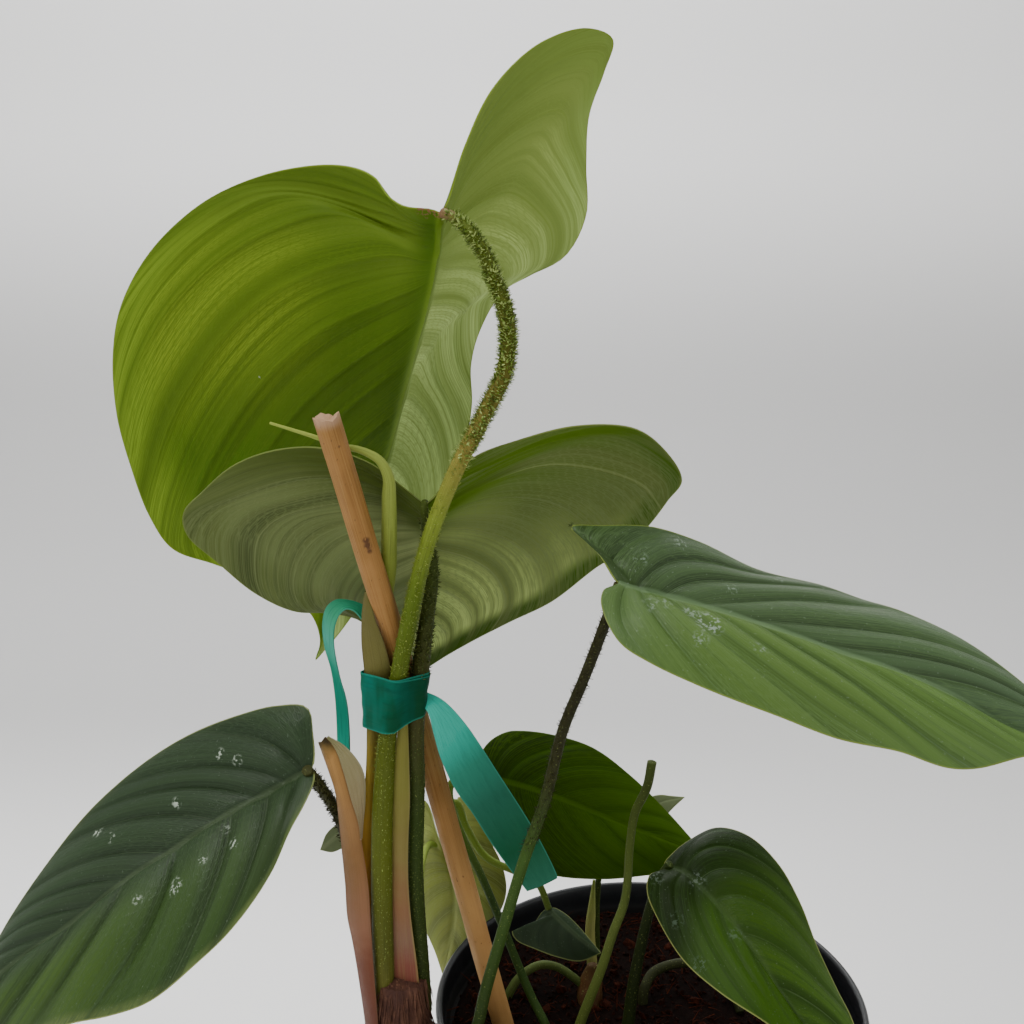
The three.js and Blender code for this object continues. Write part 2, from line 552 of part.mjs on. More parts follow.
function blade(shape, extra = 0) {
  const [joint] = shape.rib;
  const [port, starboard] = [shape.port, shape.starboard].map((edge) => sighted([joint, ...edge]));
  const lines = { rib: sighted(shape.rib), port, starboard };
  const rows = [Array(2 * shape.columns + 1).fill(lines.rib.getPointAt(0))];
  for (let row = 1; row < shape.rows; row += 1) {
    const points = [];
    for (let column = -shape.columns; column <= shape.columns; column += 1) {
      const side = column < 0 ? 'port' : 'starboard';
      const reach = Math.abs(column) / shape.columns;
      points.push(bladePoint(lines, shape, side, row / shape.rows, reach));
    }
    rows.push(points);
  }
  rows.push(rows[0].map(() => lines.rib.getPointAt(1)));
  return thicken(rows, BLADE + 2 * extra, extra);
}

// A husk or ribbon between two edges
function strip({ left, right, bulge = 0, rows }, thickness, columns) {
  const edges = [sighted(left), sighted(right)];
  const grid = [];
  for (let row = 0; row <= rows; row += 1) {
    const [start, end] = edges.map((edge) => edge.getPointAt(row / rows));
    const points = [];
    for (let column = 0; column <= columns; column += 1) {
      const share = column / columns;
      const point = start.clone().lerp(end, share);
      point.y -= bulge * 4 * share * (1 - share);
      points.push(point);
    }
    grid.push(points);
  }
  return thicken(grid, thickness);
}

// Nursery pot: thin wall, stepped rim and drain holes round the floor
function pot() {
  const shoulder = POT_HEIGHT - RIM_BAND;
  const rim = RIM_OUTLINE.map(([inside, above]) => [RIM_RADIUS - inside, shoulder + above]);
  const profile = [[0, 0], [FOOT_RADIUS - 2, 0], [FOOT_RADIUS, 2], ...rim,
    [FOOT_RADIUS - WALL, FLOOR], [0, FLOOR]];
  const shell = new THREE.LatheGeometry(profile.map(([r, z]) => new THREE.Vector2(r, z)), POT_SIDES);
  shell.rotateX(Math.PI / 2);
  let solid = toSolid(shell);
  for (let hole = 0; hole < DRAIN_HOLES; hole += 1) {
    const turn = (2 * Math.PI * (hole + 0.5)) / DRAIN_HOLES;
    const drill = new THREE.CylinderGeometry(DRAIN_RADIUS, DRAIN_RADIUS, 4 * FLOOR, 10);
    drill.rotateX(Math.PI / 2);
    drill.translate(DRAIN_RING * Math.cos(turn), DRAIN_RING * Math.sin(turn), 0);
    solid = solid.subtract(toSolid(drill));
  }
  return solid;
}

// Soil: an uneven top, and a side that follows the pot's inner wall
function soil() {
  const random = dice(7);
  const shoulder = POT_HEIGHT - RIM_BAND + 1.6;
  const neck = RIM_RADIUS - RIM_STEP - WALL - GAP;
  const profile = [[0, FLOOR + GAP], [FOOT_RADIUS - WALL - GAP, FLOOR + GAP], [neck, shoulder],
    [neck + 1.2, SOIL_TOP - 2], ...SOIL_RINGS.map((radius) => [radius, SOIL_TOP])];
  const mound = new THREE.LatheGeometry(profile.map(([r, z]) => new THREE.Vector2(r, z)), POT_SIDES);
  mound.rotateX(Math.PI / 2);
  mound.deleteAttribute('normal');
  mound.deleteAttribute('uv');
  const merged = mergeVertices(mound, 1e-3);
  const spots = merged.attributes.position;
  for (let index = 0; index < spots.count; index += 1) {
    if (spots.getZ(index) > SOIL_TOP - 1) {
      spots.setZ(index, spots.getZ(index) + SOIL_ROUGHNESS * (2 * random() - 1));
    }
  }
  return toSolid(merged);
}

function stake(extra) {
  return stalk(sighted(STAKE_WAY), [STAKE_RADIUS, STAKE_RADIUS], STAKE_SIDES, 6, extra);
}

// Where a curve passes a height
function atHeight(curve, height) {
  let [low, high] = [0, 1];
  for (let halving = 0; halving < 24; halving += 1) {
    const middle = (low + high) / 2;
    if (curve.getPointAt(middle).z < height) low = middle;
    else high = middle;
  }
  return curve.getPointAt(low);
}

// One round of the tape, pulled tight over the stalks, the stake and the sheaths
function wrapRing(level, outset) {
  const held = WRAP_HOLDS.map((name) => [wayOf[name], widthOf[name]]);
  for (const { left, right } of [HUSKS.brown_sheath, HUSKS.pink_sheath]) {
    held.push([sighted(left), HUSK / 2], [sighted(right), HUSK / 2]);
  }
  const height = spot([396, level, -36]).z;
  const rounds = held.map(([curve, radius]) => [atHeight(curve, height), radius + WRAP_SLACK]);
  const middle = rounds.reduce((sum, [centre]) => sum.add(centre), new THREE.Vector3());
  middle.divideScalar(rounds.length);
  return Array.from({ length: WRAP_POINTS }, (_, index) => {
    const turn = (2 * Math.PI * index) / WRAP_POINTS;
    const way = new THREE.Vector3(Math.cos(turn), Math.sin(turn), 0);
    const point = middle.clone().addScaledVector(way, tightReach(rounds, middle, way) + outset);
    return point.setZ(height);
  });
}

// Tape wrapped round the bundle: an open band, or the whole space inside it with some to spare
function wrap(filled) {
  const outset = filled ? TAPE + GAP : TAPE;
  const outer = WRAP_LEVELS.map((level) => wrapRing(level, outset));
  const inner = filled ? [] : [...WRAP_LEVELS].reverse().map((level) => wrapRing(level, 0));
  const rings = [...outer, ...inner];
  const faces = [];
  for (let row = 0; row < rings.length - (filled ? 1 : 0); row += 1) {
    const low = row * WRAP_POINTS;
    const high = ((row + 1) % rings.length) * WRAP_POINTS;
    for (let index = 0; index < WRAP_POINTS; index += 1) {
      const next = (index + 1) % WRAP_POINTS;
      faces.push([low + index, low + next, high + next], [low + index, high + next, high + index]);
    }
  }
  const top = (rings.length - 1) * WRAP_POINTS;
  for (let index = 1; filled && index + 1 < WRAP_POINTS; index += 1) {
    faces.push([0, index + 1, index], [top, top + index, top + index + 1]);
  }
  return meshOf(rings.flat(), faces);
}

// How far a tight band round some circles lies from their middle, one way
function tightReach(rounds, middle, way) {
  let reach = Infinity;
  for (let index = 0; index < 180; index += 1) {
    const turn = (2 * Math.PI * index) / 180;
    const face = new THREE.Vector3(Math.cos(turn), Math.sin(turn), 0);
    const lean = face.dot(way);
    const extents = rounds.map(([centre, radius]) => centre.clone().sub(middle).dot(face) + radius);
    const support = Math.max(...extents);
    if (lean > 0.02) reach = Math.min(reach, support / lean);
  }
  return reach;
}

// Everything that stands in the soil or on the stem, a little stouter, to cut its neighbours clear
const stemCurve = line(STEM_WAY.map((point) => new THREE.Vector3(...point)));
const stemSolid = (extra) => toSolid(stalk(stemCurve, STEM_RADII, 10, 16, extra));
const ways = Object.entries(STALKS).map(([name, shape]) => [name, sighted(shape.at)]);
const wayOf = { ...Object.fromEntries(ways), wooden_stake: sighted(STAKE_WAY) };
const widthOf = { tall_leaf_petiole: 2.9, broad_leaf_petiole: 2.3, wooden_stake: STAKE_RADIUS };
const stout = {
  creeping_stem: stemSolid(GAP),
  wooden_stake: toSolid(stake(GAP)),
};
for (const [name, shape] of Object.entries(STALKS)) {
  stout[name] = toSolid(stalk(wayOf[name], shape.radii, shape.sides, shape.steps, GAP));
}
for (const [name, shape] of Object.entries(BLADES)) {
  stout[name] = toSolid(blade(shape, BLADE_CLEAR));
}

// What each stalk is cut clear of: its blade, and the stem or crown that it grows from
const BESIDE = {
  tall_leaf_petiole: ['creeping_stem', 'tall_leaf_blade'],
  broad_leaf_petiole: ['creeping_stem', 'broad_leaf_blade', 'tall_leaf_petiole'],
  right_leaf_petiole: ['creeping_stem', 'right_leaf_blade'],
  left_leaf_petiole: ['creeping_stem', 'left_leaf_blade', 'tall_leaf_petiole'],
  back_leaf_petiole: ['back_leaf_blade'],
  front_leaf_petiole: ['front_leaf_blade'],
  old_leaf_petiole: ['creeping_stem', 'old_leaf_blade', 'broad_leaf_petiole'],
  soil_leaf_petiole: ['soil_leaf_blade'],
  hidden_leaf_petiole: ['hidden_leaf_blade'],
  bud_leaf_stalk: ['creeping_stem', 'bud_leaf_blade', 'left_leaf_petiole', 'tall_leaf_petiole'],
  rolled_new_leaf: ['wooden_stake'],
  left_root: ['side_crown'],
};
const STALK_FINISH = {
  tall_leaf_petiole: 'petiole', broad_leaf_petiole: 'bristly', right_leaf_petiole: 'bristly',
  left_leaf_petiole: 'bristly', rolled_new_leaf: 'young', young_spear: 'young', side_crown: 'pink',
  old_leaf_petiole: 'young',
};
const BLADE_FINISH = {
  tall_leaf_blade: 'tall', broad_leaf_blade: 'broad', left_leaf_blade: 'dark', back_leaf_blade: 'back',
  old_leaf_blade: 'old', soil_leaf_blade: 'dark', hidden_leaf_blade: 'broad', bud_leaf_blade: 'dark',
};
const IN_SOIL = ['creeping_stem', 'wooden_stake', 'back_leaf_petiole', 'front_leaf_petiole',
  'soil_leaf_petiole', 'hidden_leaf_petiole', 'cut_petiole', 'young_spear', 'side_crown',
  'left_root', 'right_root'];

addPiece('pot', toGeometry(pot()), 'pot');
addPiece('soil', toGeometry(cutClear(soil(), IN_SOIL.map((name) => stout[name]))), 'soil');
addPiece('creeping_stem', toGeometry(stemSolid(0)), 'stem');
addPiece('wooden_stake', stake(0), 'stake');
for (const [name, shape] of Object.entries(BLADES)) {
  addPiece(name, blade(shape), BLADE_FINISH[name] ?? 'upper');
}
Object.entries(STALKS).forEach(([name, shape], index) => {
  const solid = withScales(wayOf[name], shape, 11 + index);
  const clear = cutClear(solid, (BESIDE[name] ?? []).map((other) => stout[other]));
  addPiece(name, toGeometry(clear), STALK_FINISH[name] ?? 'petiole');
});
for (const [name, shape] of Object.entries(HUSKS)) {
  const beside = ['creeping_stem', 'tall_leaf_petiole', 'broad_leaf_petiole', 'left_leaf_petiole',
    'rolled_new_leaf', 'wooden_stake'];
  const clear = cutClear(toSolid(strip(shape, HUSK, 3)), beside.map((other) => stout[other]));
  addPiece(name, toGeometry(clear), name === 'pink_sheath' ? 'pink' : 'husk');
}
addPiece('tape_wrap', wrap(false), 'tape');
for (const [name, shape] of Object.entries(RIBBONS)) {
  addPiece(name, toGeometry(cutClear(toSolid(strip(shape, TAPE, 2)), [toSolid(wrap(true))])), 'tape');
}

export default plant;
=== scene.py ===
# %% [markdown]
# # A fuzzy petiole philodendron in its nursery pot
# A creeping stem grows over the pot's rim and carries the tall leaves, which a tape holds to
# a wooden stake. Smaller leaves stand in the soil. Each piece here is built from the same
# places as the solid model of the plant, but finer, and with the finish of the real one.

# %% Load the solid model
import math

import bpy
import numpy as np
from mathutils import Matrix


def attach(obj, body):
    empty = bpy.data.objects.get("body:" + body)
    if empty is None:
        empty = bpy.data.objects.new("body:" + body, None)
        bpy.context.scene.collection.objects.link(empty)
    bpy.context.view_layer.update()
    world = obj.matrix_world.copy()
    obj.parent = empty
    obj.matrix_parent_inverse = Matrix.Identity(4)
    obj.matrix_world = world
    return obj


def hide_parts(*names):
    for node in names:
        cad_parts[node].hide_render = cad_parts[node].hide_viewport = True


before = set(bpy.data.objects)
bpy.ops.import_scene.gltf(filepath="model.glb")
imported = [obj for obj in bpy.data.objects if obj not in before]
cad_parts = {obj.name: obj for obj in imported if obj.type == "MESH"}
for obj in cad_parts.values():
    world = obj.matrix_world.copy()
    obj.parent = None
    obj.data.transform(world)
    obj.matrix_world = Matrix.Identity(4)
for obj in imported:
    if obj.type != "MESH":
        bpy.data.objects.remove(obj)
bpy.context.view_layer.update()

print("solid model:", len(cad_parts), "pieces")

# %% [markdown]
# ## The view
# A place on the plant is easiest to give as it is seen: how far across and down a square view
# it lies, and how far back. One function turns such places into points in metres, so the
# camera and all shapes share the same few numbers.

# %% Camera and sight lines
EYE = np.array([-0.0515, -0.4193, 0.451])
PITCH = math.radians(15.67)
FOCAL = 1300
VIEW = 1024

camera = bpy.data.objects.new("camera", bpy.data.cameras.new("camera"))
camera.data.lens = camera.data.sensor_width * FOCAL / VIEW
camera.location = EYE
camera.rotation_euler = (math.radians(90) - PITCH, 0, 0)
bpy.context.collection.objects.link(camera)
bpy.context.scene.camera = camera


def sight(places):
    """Points in metres of places given as (across, down, millimetres back)."""
    across, down, depth = np.array(places, float).T
    aside = (across - VIEW / 2) / FOCAL
    drop = (down - VIEW / 2) / FOCAL
    forward = math.cos(PITCH) - drop * math.sin(PITCH)
    upward = -math.sin(PITCH) - drop * math.cos(PITCH)
    step = (depth / 1000 - EYE[1]) / forward
    return EYE + step[:, None] * np.stack([aside, forward, upward], axis=1)


print("lens", round(camera.data.lens, 2), "mm")

# %% [markdown]
# ## Smooth ways through a few points
# Stalks, margins and edges all follow a smooth line through a handful of places. A centripetal
# Catmull-Rom curve passes through every one of them and makes no loops. Walking it by its
# length gives evenly spaced rings and rows.

# %% A curve that is walked by its length
FINENESS = 24
GLANCE = 0.004


class Way:
    """A smooth line through points; places on it are given as shares of its length."""

    def __init__(self, points):
        points = np.asarray(points, float)
        ends = np.vstack([2 * points[0] - points[1], points, 2 * points[-1] - points[-2]])
        t = np.linspace(0, 1, FINENESS, endpoint=False)[:, None]
        dense = []
        for a, b, c, d in zip(ends, ends[1:], ends[2:], ends[3:]):
            ab, bc, cd = [np.linalg.norm(q - p) ** 0.5 for p, q in ((a, b), (b, c), (c, d))]
            start = ((b - a) / ab - (c - a) / (ab + bc) + (c - b) / bc) * bc
            end = ((c - b) / bc - (d - b) / (bc + cd) + (d - c) / cd) * bc
            dense.append(b + start * t + (3 * (c - b) - 2 * start - end) * t ** 2
                         + (2 * (b - c) + start + end) * t ** 3)
        self.points = np.vstack(dense + [points[-1:]])
        steps = np.linalg.norm(np.diff(self.points, axis=0), axis=1)
        self.length = steps.sum()
        self.shares = np.concatenate([[0], np.cumsum(steps)]) / self.length

    def at(self, share):
        return np.stack([np.interp(share, self.shares, self.points[:, k]) for k in range(3)], -1)

    def heading(self, share):
        ahead = self.at(np.minimum(np.asarray(share) + GLANCE, 1))
        behind = self.at(np.maximum(np.asarray(share) - GLANCE, 0))
        return unit(ahead - behind)


def unit(vectors):
    return vectors / np.maximum(np.linalg.norm(vectors, axis=-1, keepdims=True), 1e-12)


def rise(value, low, high):
    """0 below low, 1 above high, and a soft step between them."""
    share = np.clip((value - low) / (high - low), 0, 1)
    return share * share * (3 - 2 * share)


print("a straight way is", Way([[0, 0, 0], [0, 0, 1], [0, 0, 2]]).length, "m long")

# %% [markdown]
# ## Numbers that change over a surface
# Shader and geometry trees both do sums with nodes. A small class wraps a socket, so that
# `1 - mask` or `wave * 0.5` in Python adds the Math nodes. One method makes every other node
# from its type, its settings and the values or links of its sockets.

# %% Node trees written as sums
class Wire:
    """A socket whose value can be added, multiplied and so on."""

    def __init__(self, nodes, socket):
        self.nodes = nodes
        self.socket = socket

    def math(self, operation, *values):
        return self.nodes.add("ShaderNodeMath", {"operation": operation}, dict(enumerate(values)))

    def __add__(self, other):
        return self.math("ADD", self, other)

    def __sub__(self, other):
        return self.math("SUBTRACT", self, other)

    def __rsub__(self, other):
        return self.math("SUBTRACT", other, self)

    def __mul__(self, other):
        return self.math("MULTIPLY", self, other)

    def __pow__(self, other):
        return self.math("POWER", self, other)

    def other(self, name):
        """Another output of the same node."""
        return Wire(self.nodes, self.socket.node.outputs[name])


class Nodes:
    """A node tree that is being built."""

    def __init__(self, tree):
        self.tree = tree

    def add(self, kind, settings=None, sockets=None, out=0):
        node = self.tree.nodes.new(kind)
        for name, value in (settings or {}).items():
            if name == "stops":
                self.set_stops(node.color_ramp, value)
            else:
                setattr(node, name, value)
        for name, value in (sockets or {}).items():
            if isinstance(value, Wire):
                self.tree.links.new(value.socket, node.inputs[name])
            else:
                node.inputs[name].default_value = value
        return Wire(self, node.outputs[out]) if node.outputs else None

    def add_vectors(self, first, second):
        return self.add("ShaderNodeVectorMath", {"operation": "ADD"}, {0: first, 1: second})

    def scale_vector(self, vector, factor):
        return self.add("ShaderNodeVectorMath", {"operation": "SCALE"}, {0: vector, "Scale": factor})

    def draw_vector(self, low, high, seed):
        """A vector drawn at random between two others."""
        return self.add("FunctionNodeRandomValue", {"data_type": "FLOAT_VECTOR"}, {
            0: low, 1: high, "Seed": seed}, out=0)

    def set_stops(self, ramp, stops):
        while len(ramp.elements) < len(stops):
            ramp.elements.new(1)
        for element, (position, colour) in zip(ramp.elements, stops):
            element.position = position
            element.color = colour


# %% [markdown]
# ## Finishes
# Every finish here is one Principled surface whose colour, roughness and bump come from
# patterns. A pattern that belongs to the material, such as grain, reads the place in space. A
# pattern that follows the form, such as the veins of a leaf, reads values that the mesh carries.

# %% A finish and its usual patterns
def hue(code):
    """A colour written as six hexadecimal digits, as the linear values that nodes expect."""
    parts = [int(code[i:i + 2], 16) / 255 for i in (0, 2, 4)]
    linear = [c / 12.92 if c < 0.04045 else ((c + 0.055) / 1.055) ** 2.4 for c in parts]
    return (*linear, 1)


class Finish(Nodes):
    """A material that is being built round one Principled surface."""

    def __init__(self, name, constants=None):
        self.material = bpy.data.materials.new(name)
        self.material.use_nodes = True
        super().__init__(self.material.node_tree)
        self.surface = self.tree.nodes["Principled BSDF"]
        for socket, value in (constants or {}).items():
            self.surface.inputs[socket].default_value = value

    def place(self):
        return self.add("ShaderNodeTexCoord", out="Object")

    def carried(self, name, out="Fac"):
        return self.add("ShaderNodeAttribute", {"attribute_name": name}, out=out)

    def split(self, vector):
        return self.add("ShaderNodeSeparateXYZ", sockets={"Vector": vector}, out="X")

    def noise(self, scale, detail=3, rough=0.5, stretch=(1, 1, 1), of=None):
        where = self.add("ShaderNodeMapping", sockets={
            "Vector": of or self.place(), "Scale": stretch})
        return self.add("ShaderNodeTexNoise", sockets={
            "Vector": where, "Scale": scale, "Detail": detail, "Roughness": rough})

    def mix(self, share, first, second):
        return self.add("ShaderNodeMix", {"data_type": "RGBA"}, {
            0: share, 6: first, 7: second}, out=2)

    def ramp(self, tones, share):
        """The colour at a share, from pairs of a share and a colour code."""
        stops = [(place, hue(code)) for place, code in tones]
        return self.add("ShaderNodeValToRGB", {"stops": stops}, {"Fac": share}, "Color")

    def soft(self, value, low, high):
        return self.add("ShaderNodeMapRange", {"interpolation_type": "SMOOTHSTEP"}, {
            "Value": value, "From Min": low, "From Max": high})

    def near(self, point, inner, outer):
        """1 close to a point and 0 beyond the outer distance, in metres."""
        gap = self.add("ShaderNodeVectorMath", {"operation": "DISTANCE"}, {
            0: self.place(), 1: tuple(point)}, out="Value")
        return 1 - self.soft(gap, inner, outer)

    def wear(self, colour, roughness=None, height=None, strength=0.4, distance=0.0005):
        self.tree.links.new(colour.socket, self.surface.inputs["Base Color"])
        if roughness is not None:
            self.tree.links.new(roughness.socket, self.surface.inputs["Roughness"])
        if height is not None:
            bump = self.add("ShaderNodeBump", sockets={
                "Height": height, "Strength": strength, "Distance": distance})
            self.tree.links.new(bump.socket, self.surface.inputs["Normal"])
        return self.material


print("sRGB mid grey is", round(hue("808080")[0], 3), "in linear light")

# %% [markdown]
# ## From a grid to a closed sheet
# Blades, husks and tape are all thin sheets. A grid of points gives the middle of a sheet. Moving
# it out along its normals to the front and to the rear, and walling the border, gives a closed
# body. Rows that shrink to one point, at a leaf's joint and tip, are merged. Every point keeps
# what the finishes read: on which side it lies, and whatever else the grid carries.

# %% Sheets, tubes and pieces
FRONT = 1
REAR = 0
CALMING_ROUNDS = 3


def sheet(grid, front, rear, carried):
    """Points, faces and carried values of a closed sheet; front and rear are in metres."""
    rows, columns = grid.shape[:2]
    number = np.arange(rows * columns).reshape(rows, columns)
    merged = [np.ptp(grid[end], axis=0).max() < 1e-7 for end in (0, -1)]
    for end, single in zip((0, -1), merged):
        if single:
            number[end] = number[end, 0]
    corners = number[:-1, :-1], number[:-1, 1:], number[1:, 1:], number[1:, :-1]
    a, b, c, d = [corner.ravel() for corner in corners]
    flat = grid.reshape(-1, 3)
    lean = np.cross(flat[c] - flat[a], flat[d] - flat[b])
    sums = np.zeros_like(flat)
    for corner in (a, b, c, d):
        np.add.at(sums, corner, lean)
    normals = unit(sums[number])
    for _ in range(CALMING_ROUNDS):
        wide = np.pad(normals, ((1, 1), (1, 1), (0, 0)), "edge")
        normals = unit(wide[1:-1, 1:-1] * 2 + wide[:-2, 1:-1] + wide[2:, 1:-1]
                       + wide[1:-1, :-2] + wide[1:-1, 2:])
        for end, single in zip((0, -1), merged):
            if single:
                normals[end] = unit(normals[end].mean(axis=0))
    points = np.vstack([(grid + normals * np.atleast_3d(front)).reshape(-1, 3),
                        (grid - normals * np.atleast_3d(rear)).reshape(-1, 3)])
    shift = rows * columns
    front_faces = np.stack([a, b, c, d], axis=1)
    faces = [front_faces, front_faces[:, ::-1] + shift]
    edges = [(number[:-1, 0], number[1:, 0]), (number[1:, -1], number[:-1, -1])]
    if not merged[0]:
        edges.append((number[0, 1:], number[0, :-1]))
    if not merged[1]:
        edges.append((number[-1, :-1], number[-1, 1:]))
    faces += [np.stack([p, q, q + shift, p + shift], axis=1) for p, q in edges]
    values = {name: np.vstack([numbers.reshape(-1, 3)] * 2) for name, numbers in carried.items()}
    values["side"] = np.repeat([FRONT, REAR], shift)
    return points, np.vstack(faces), values


def rings(points, carried, foot, head):
    """A closed tube through rings of points, its ends capped round a foot and a head point."""
    steps, sides = points.shape[:2]
    number = np.arange(steps * sides).reshape(steps, sides)
    low, high = number[:-1], number[1:]
    body = np.stack([low, np.roll(low, -1, 1), np.roll(high, -1, 1), high], axis=2).reshape(-1, 4)
    first, last = number[0], number[-1]
    hub = np.full(sides, steps * sides)
    foot_cap = np.stack([hub, np.roll(first, -1), first, first], axis=1)
    head_cap = np.stack([hub + 1, last, np.roll(last, -1), np.roll(last, -1)], axis=1)
    values = {}
    for name, numbers in carried.items():
        flat = numbers.reshape(steps * sides, -1)
        values[name] = np.vstack([flat, numbers[0].mean(axis=0), numbers[-1].mean(axis=0)]).squeeze()
    points = np.vstack([points.reshape(-1, 3), foot, head])
    return points, np.vstack([body, foot_cap, head_cap]), values


def piece(name, form, finish, slot, *nodes, crease=55):
    """A mesh object that stands for nodes of the solid model."""
    points, faces, values = form
    used, compact = np.unique(faces, return_inverse=True)
    corners = [list(dict.fromkeys(face)) for face in compact.reshape(faces.shape).tolist()]
    mesh = bpy.data.meshes.new(name)
    mesh.from_pydata(points[used].tolist(), [], [face for face in corners if len(face) > 2])
    mesh.shade_smooth()
    mesh.set_sharp_from_angle(angle=math.radians(crease))
    for key, numbers in values.items():
        numbers = np.asarray(numbers, np.float32)[used]
        wide = numbers.ndim == 2 and numbers.shape[1] == 3
        attribute = mesh.attributes.new(key, "FLOAT_VECTOR" if wide else "FLOAT", "POINT")
        attribute.data.foreach_set("vector" if wide else "value", numbers.ravel())
    mesh.materials.append(finish)
    thing = bpy.data.objects.new(name, mesh)
    bpy.context.collection.objects.link(thing)
    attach(thing, "root")
    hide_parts(*nodes)
    return thing


print("sheets and tubes are ready")

# %% [markdown]
# ## Leaf blades
# Each blade hangs on its rib, which starts at the joint with the stalk. Rows run from the rib
# out to the margin and lie as the side veins run, so a vein simply follows the rows. Between
# two veins the blade puffs up, which gives the quilted look. Rows start closer together on the
# rib where the veins fan out, so that they aren't too far apart at the margin. The veins stand
# out on the underside and are furrows on the upper side, and the blade thins out towards its
# margin.

# %% Places of the blades
# Side veins: where each starts on the rib and ends at the margin, and how late it bends
COMMON_VEINS = [(0.1, 0.3, 1.5), (0.22, 0.45, 1.3), (0.36, 0.6, 1.2), (0.5, 0.72, 1.1),
                (0.65, 0.84, 1), (0.8, 0.93, 1)]
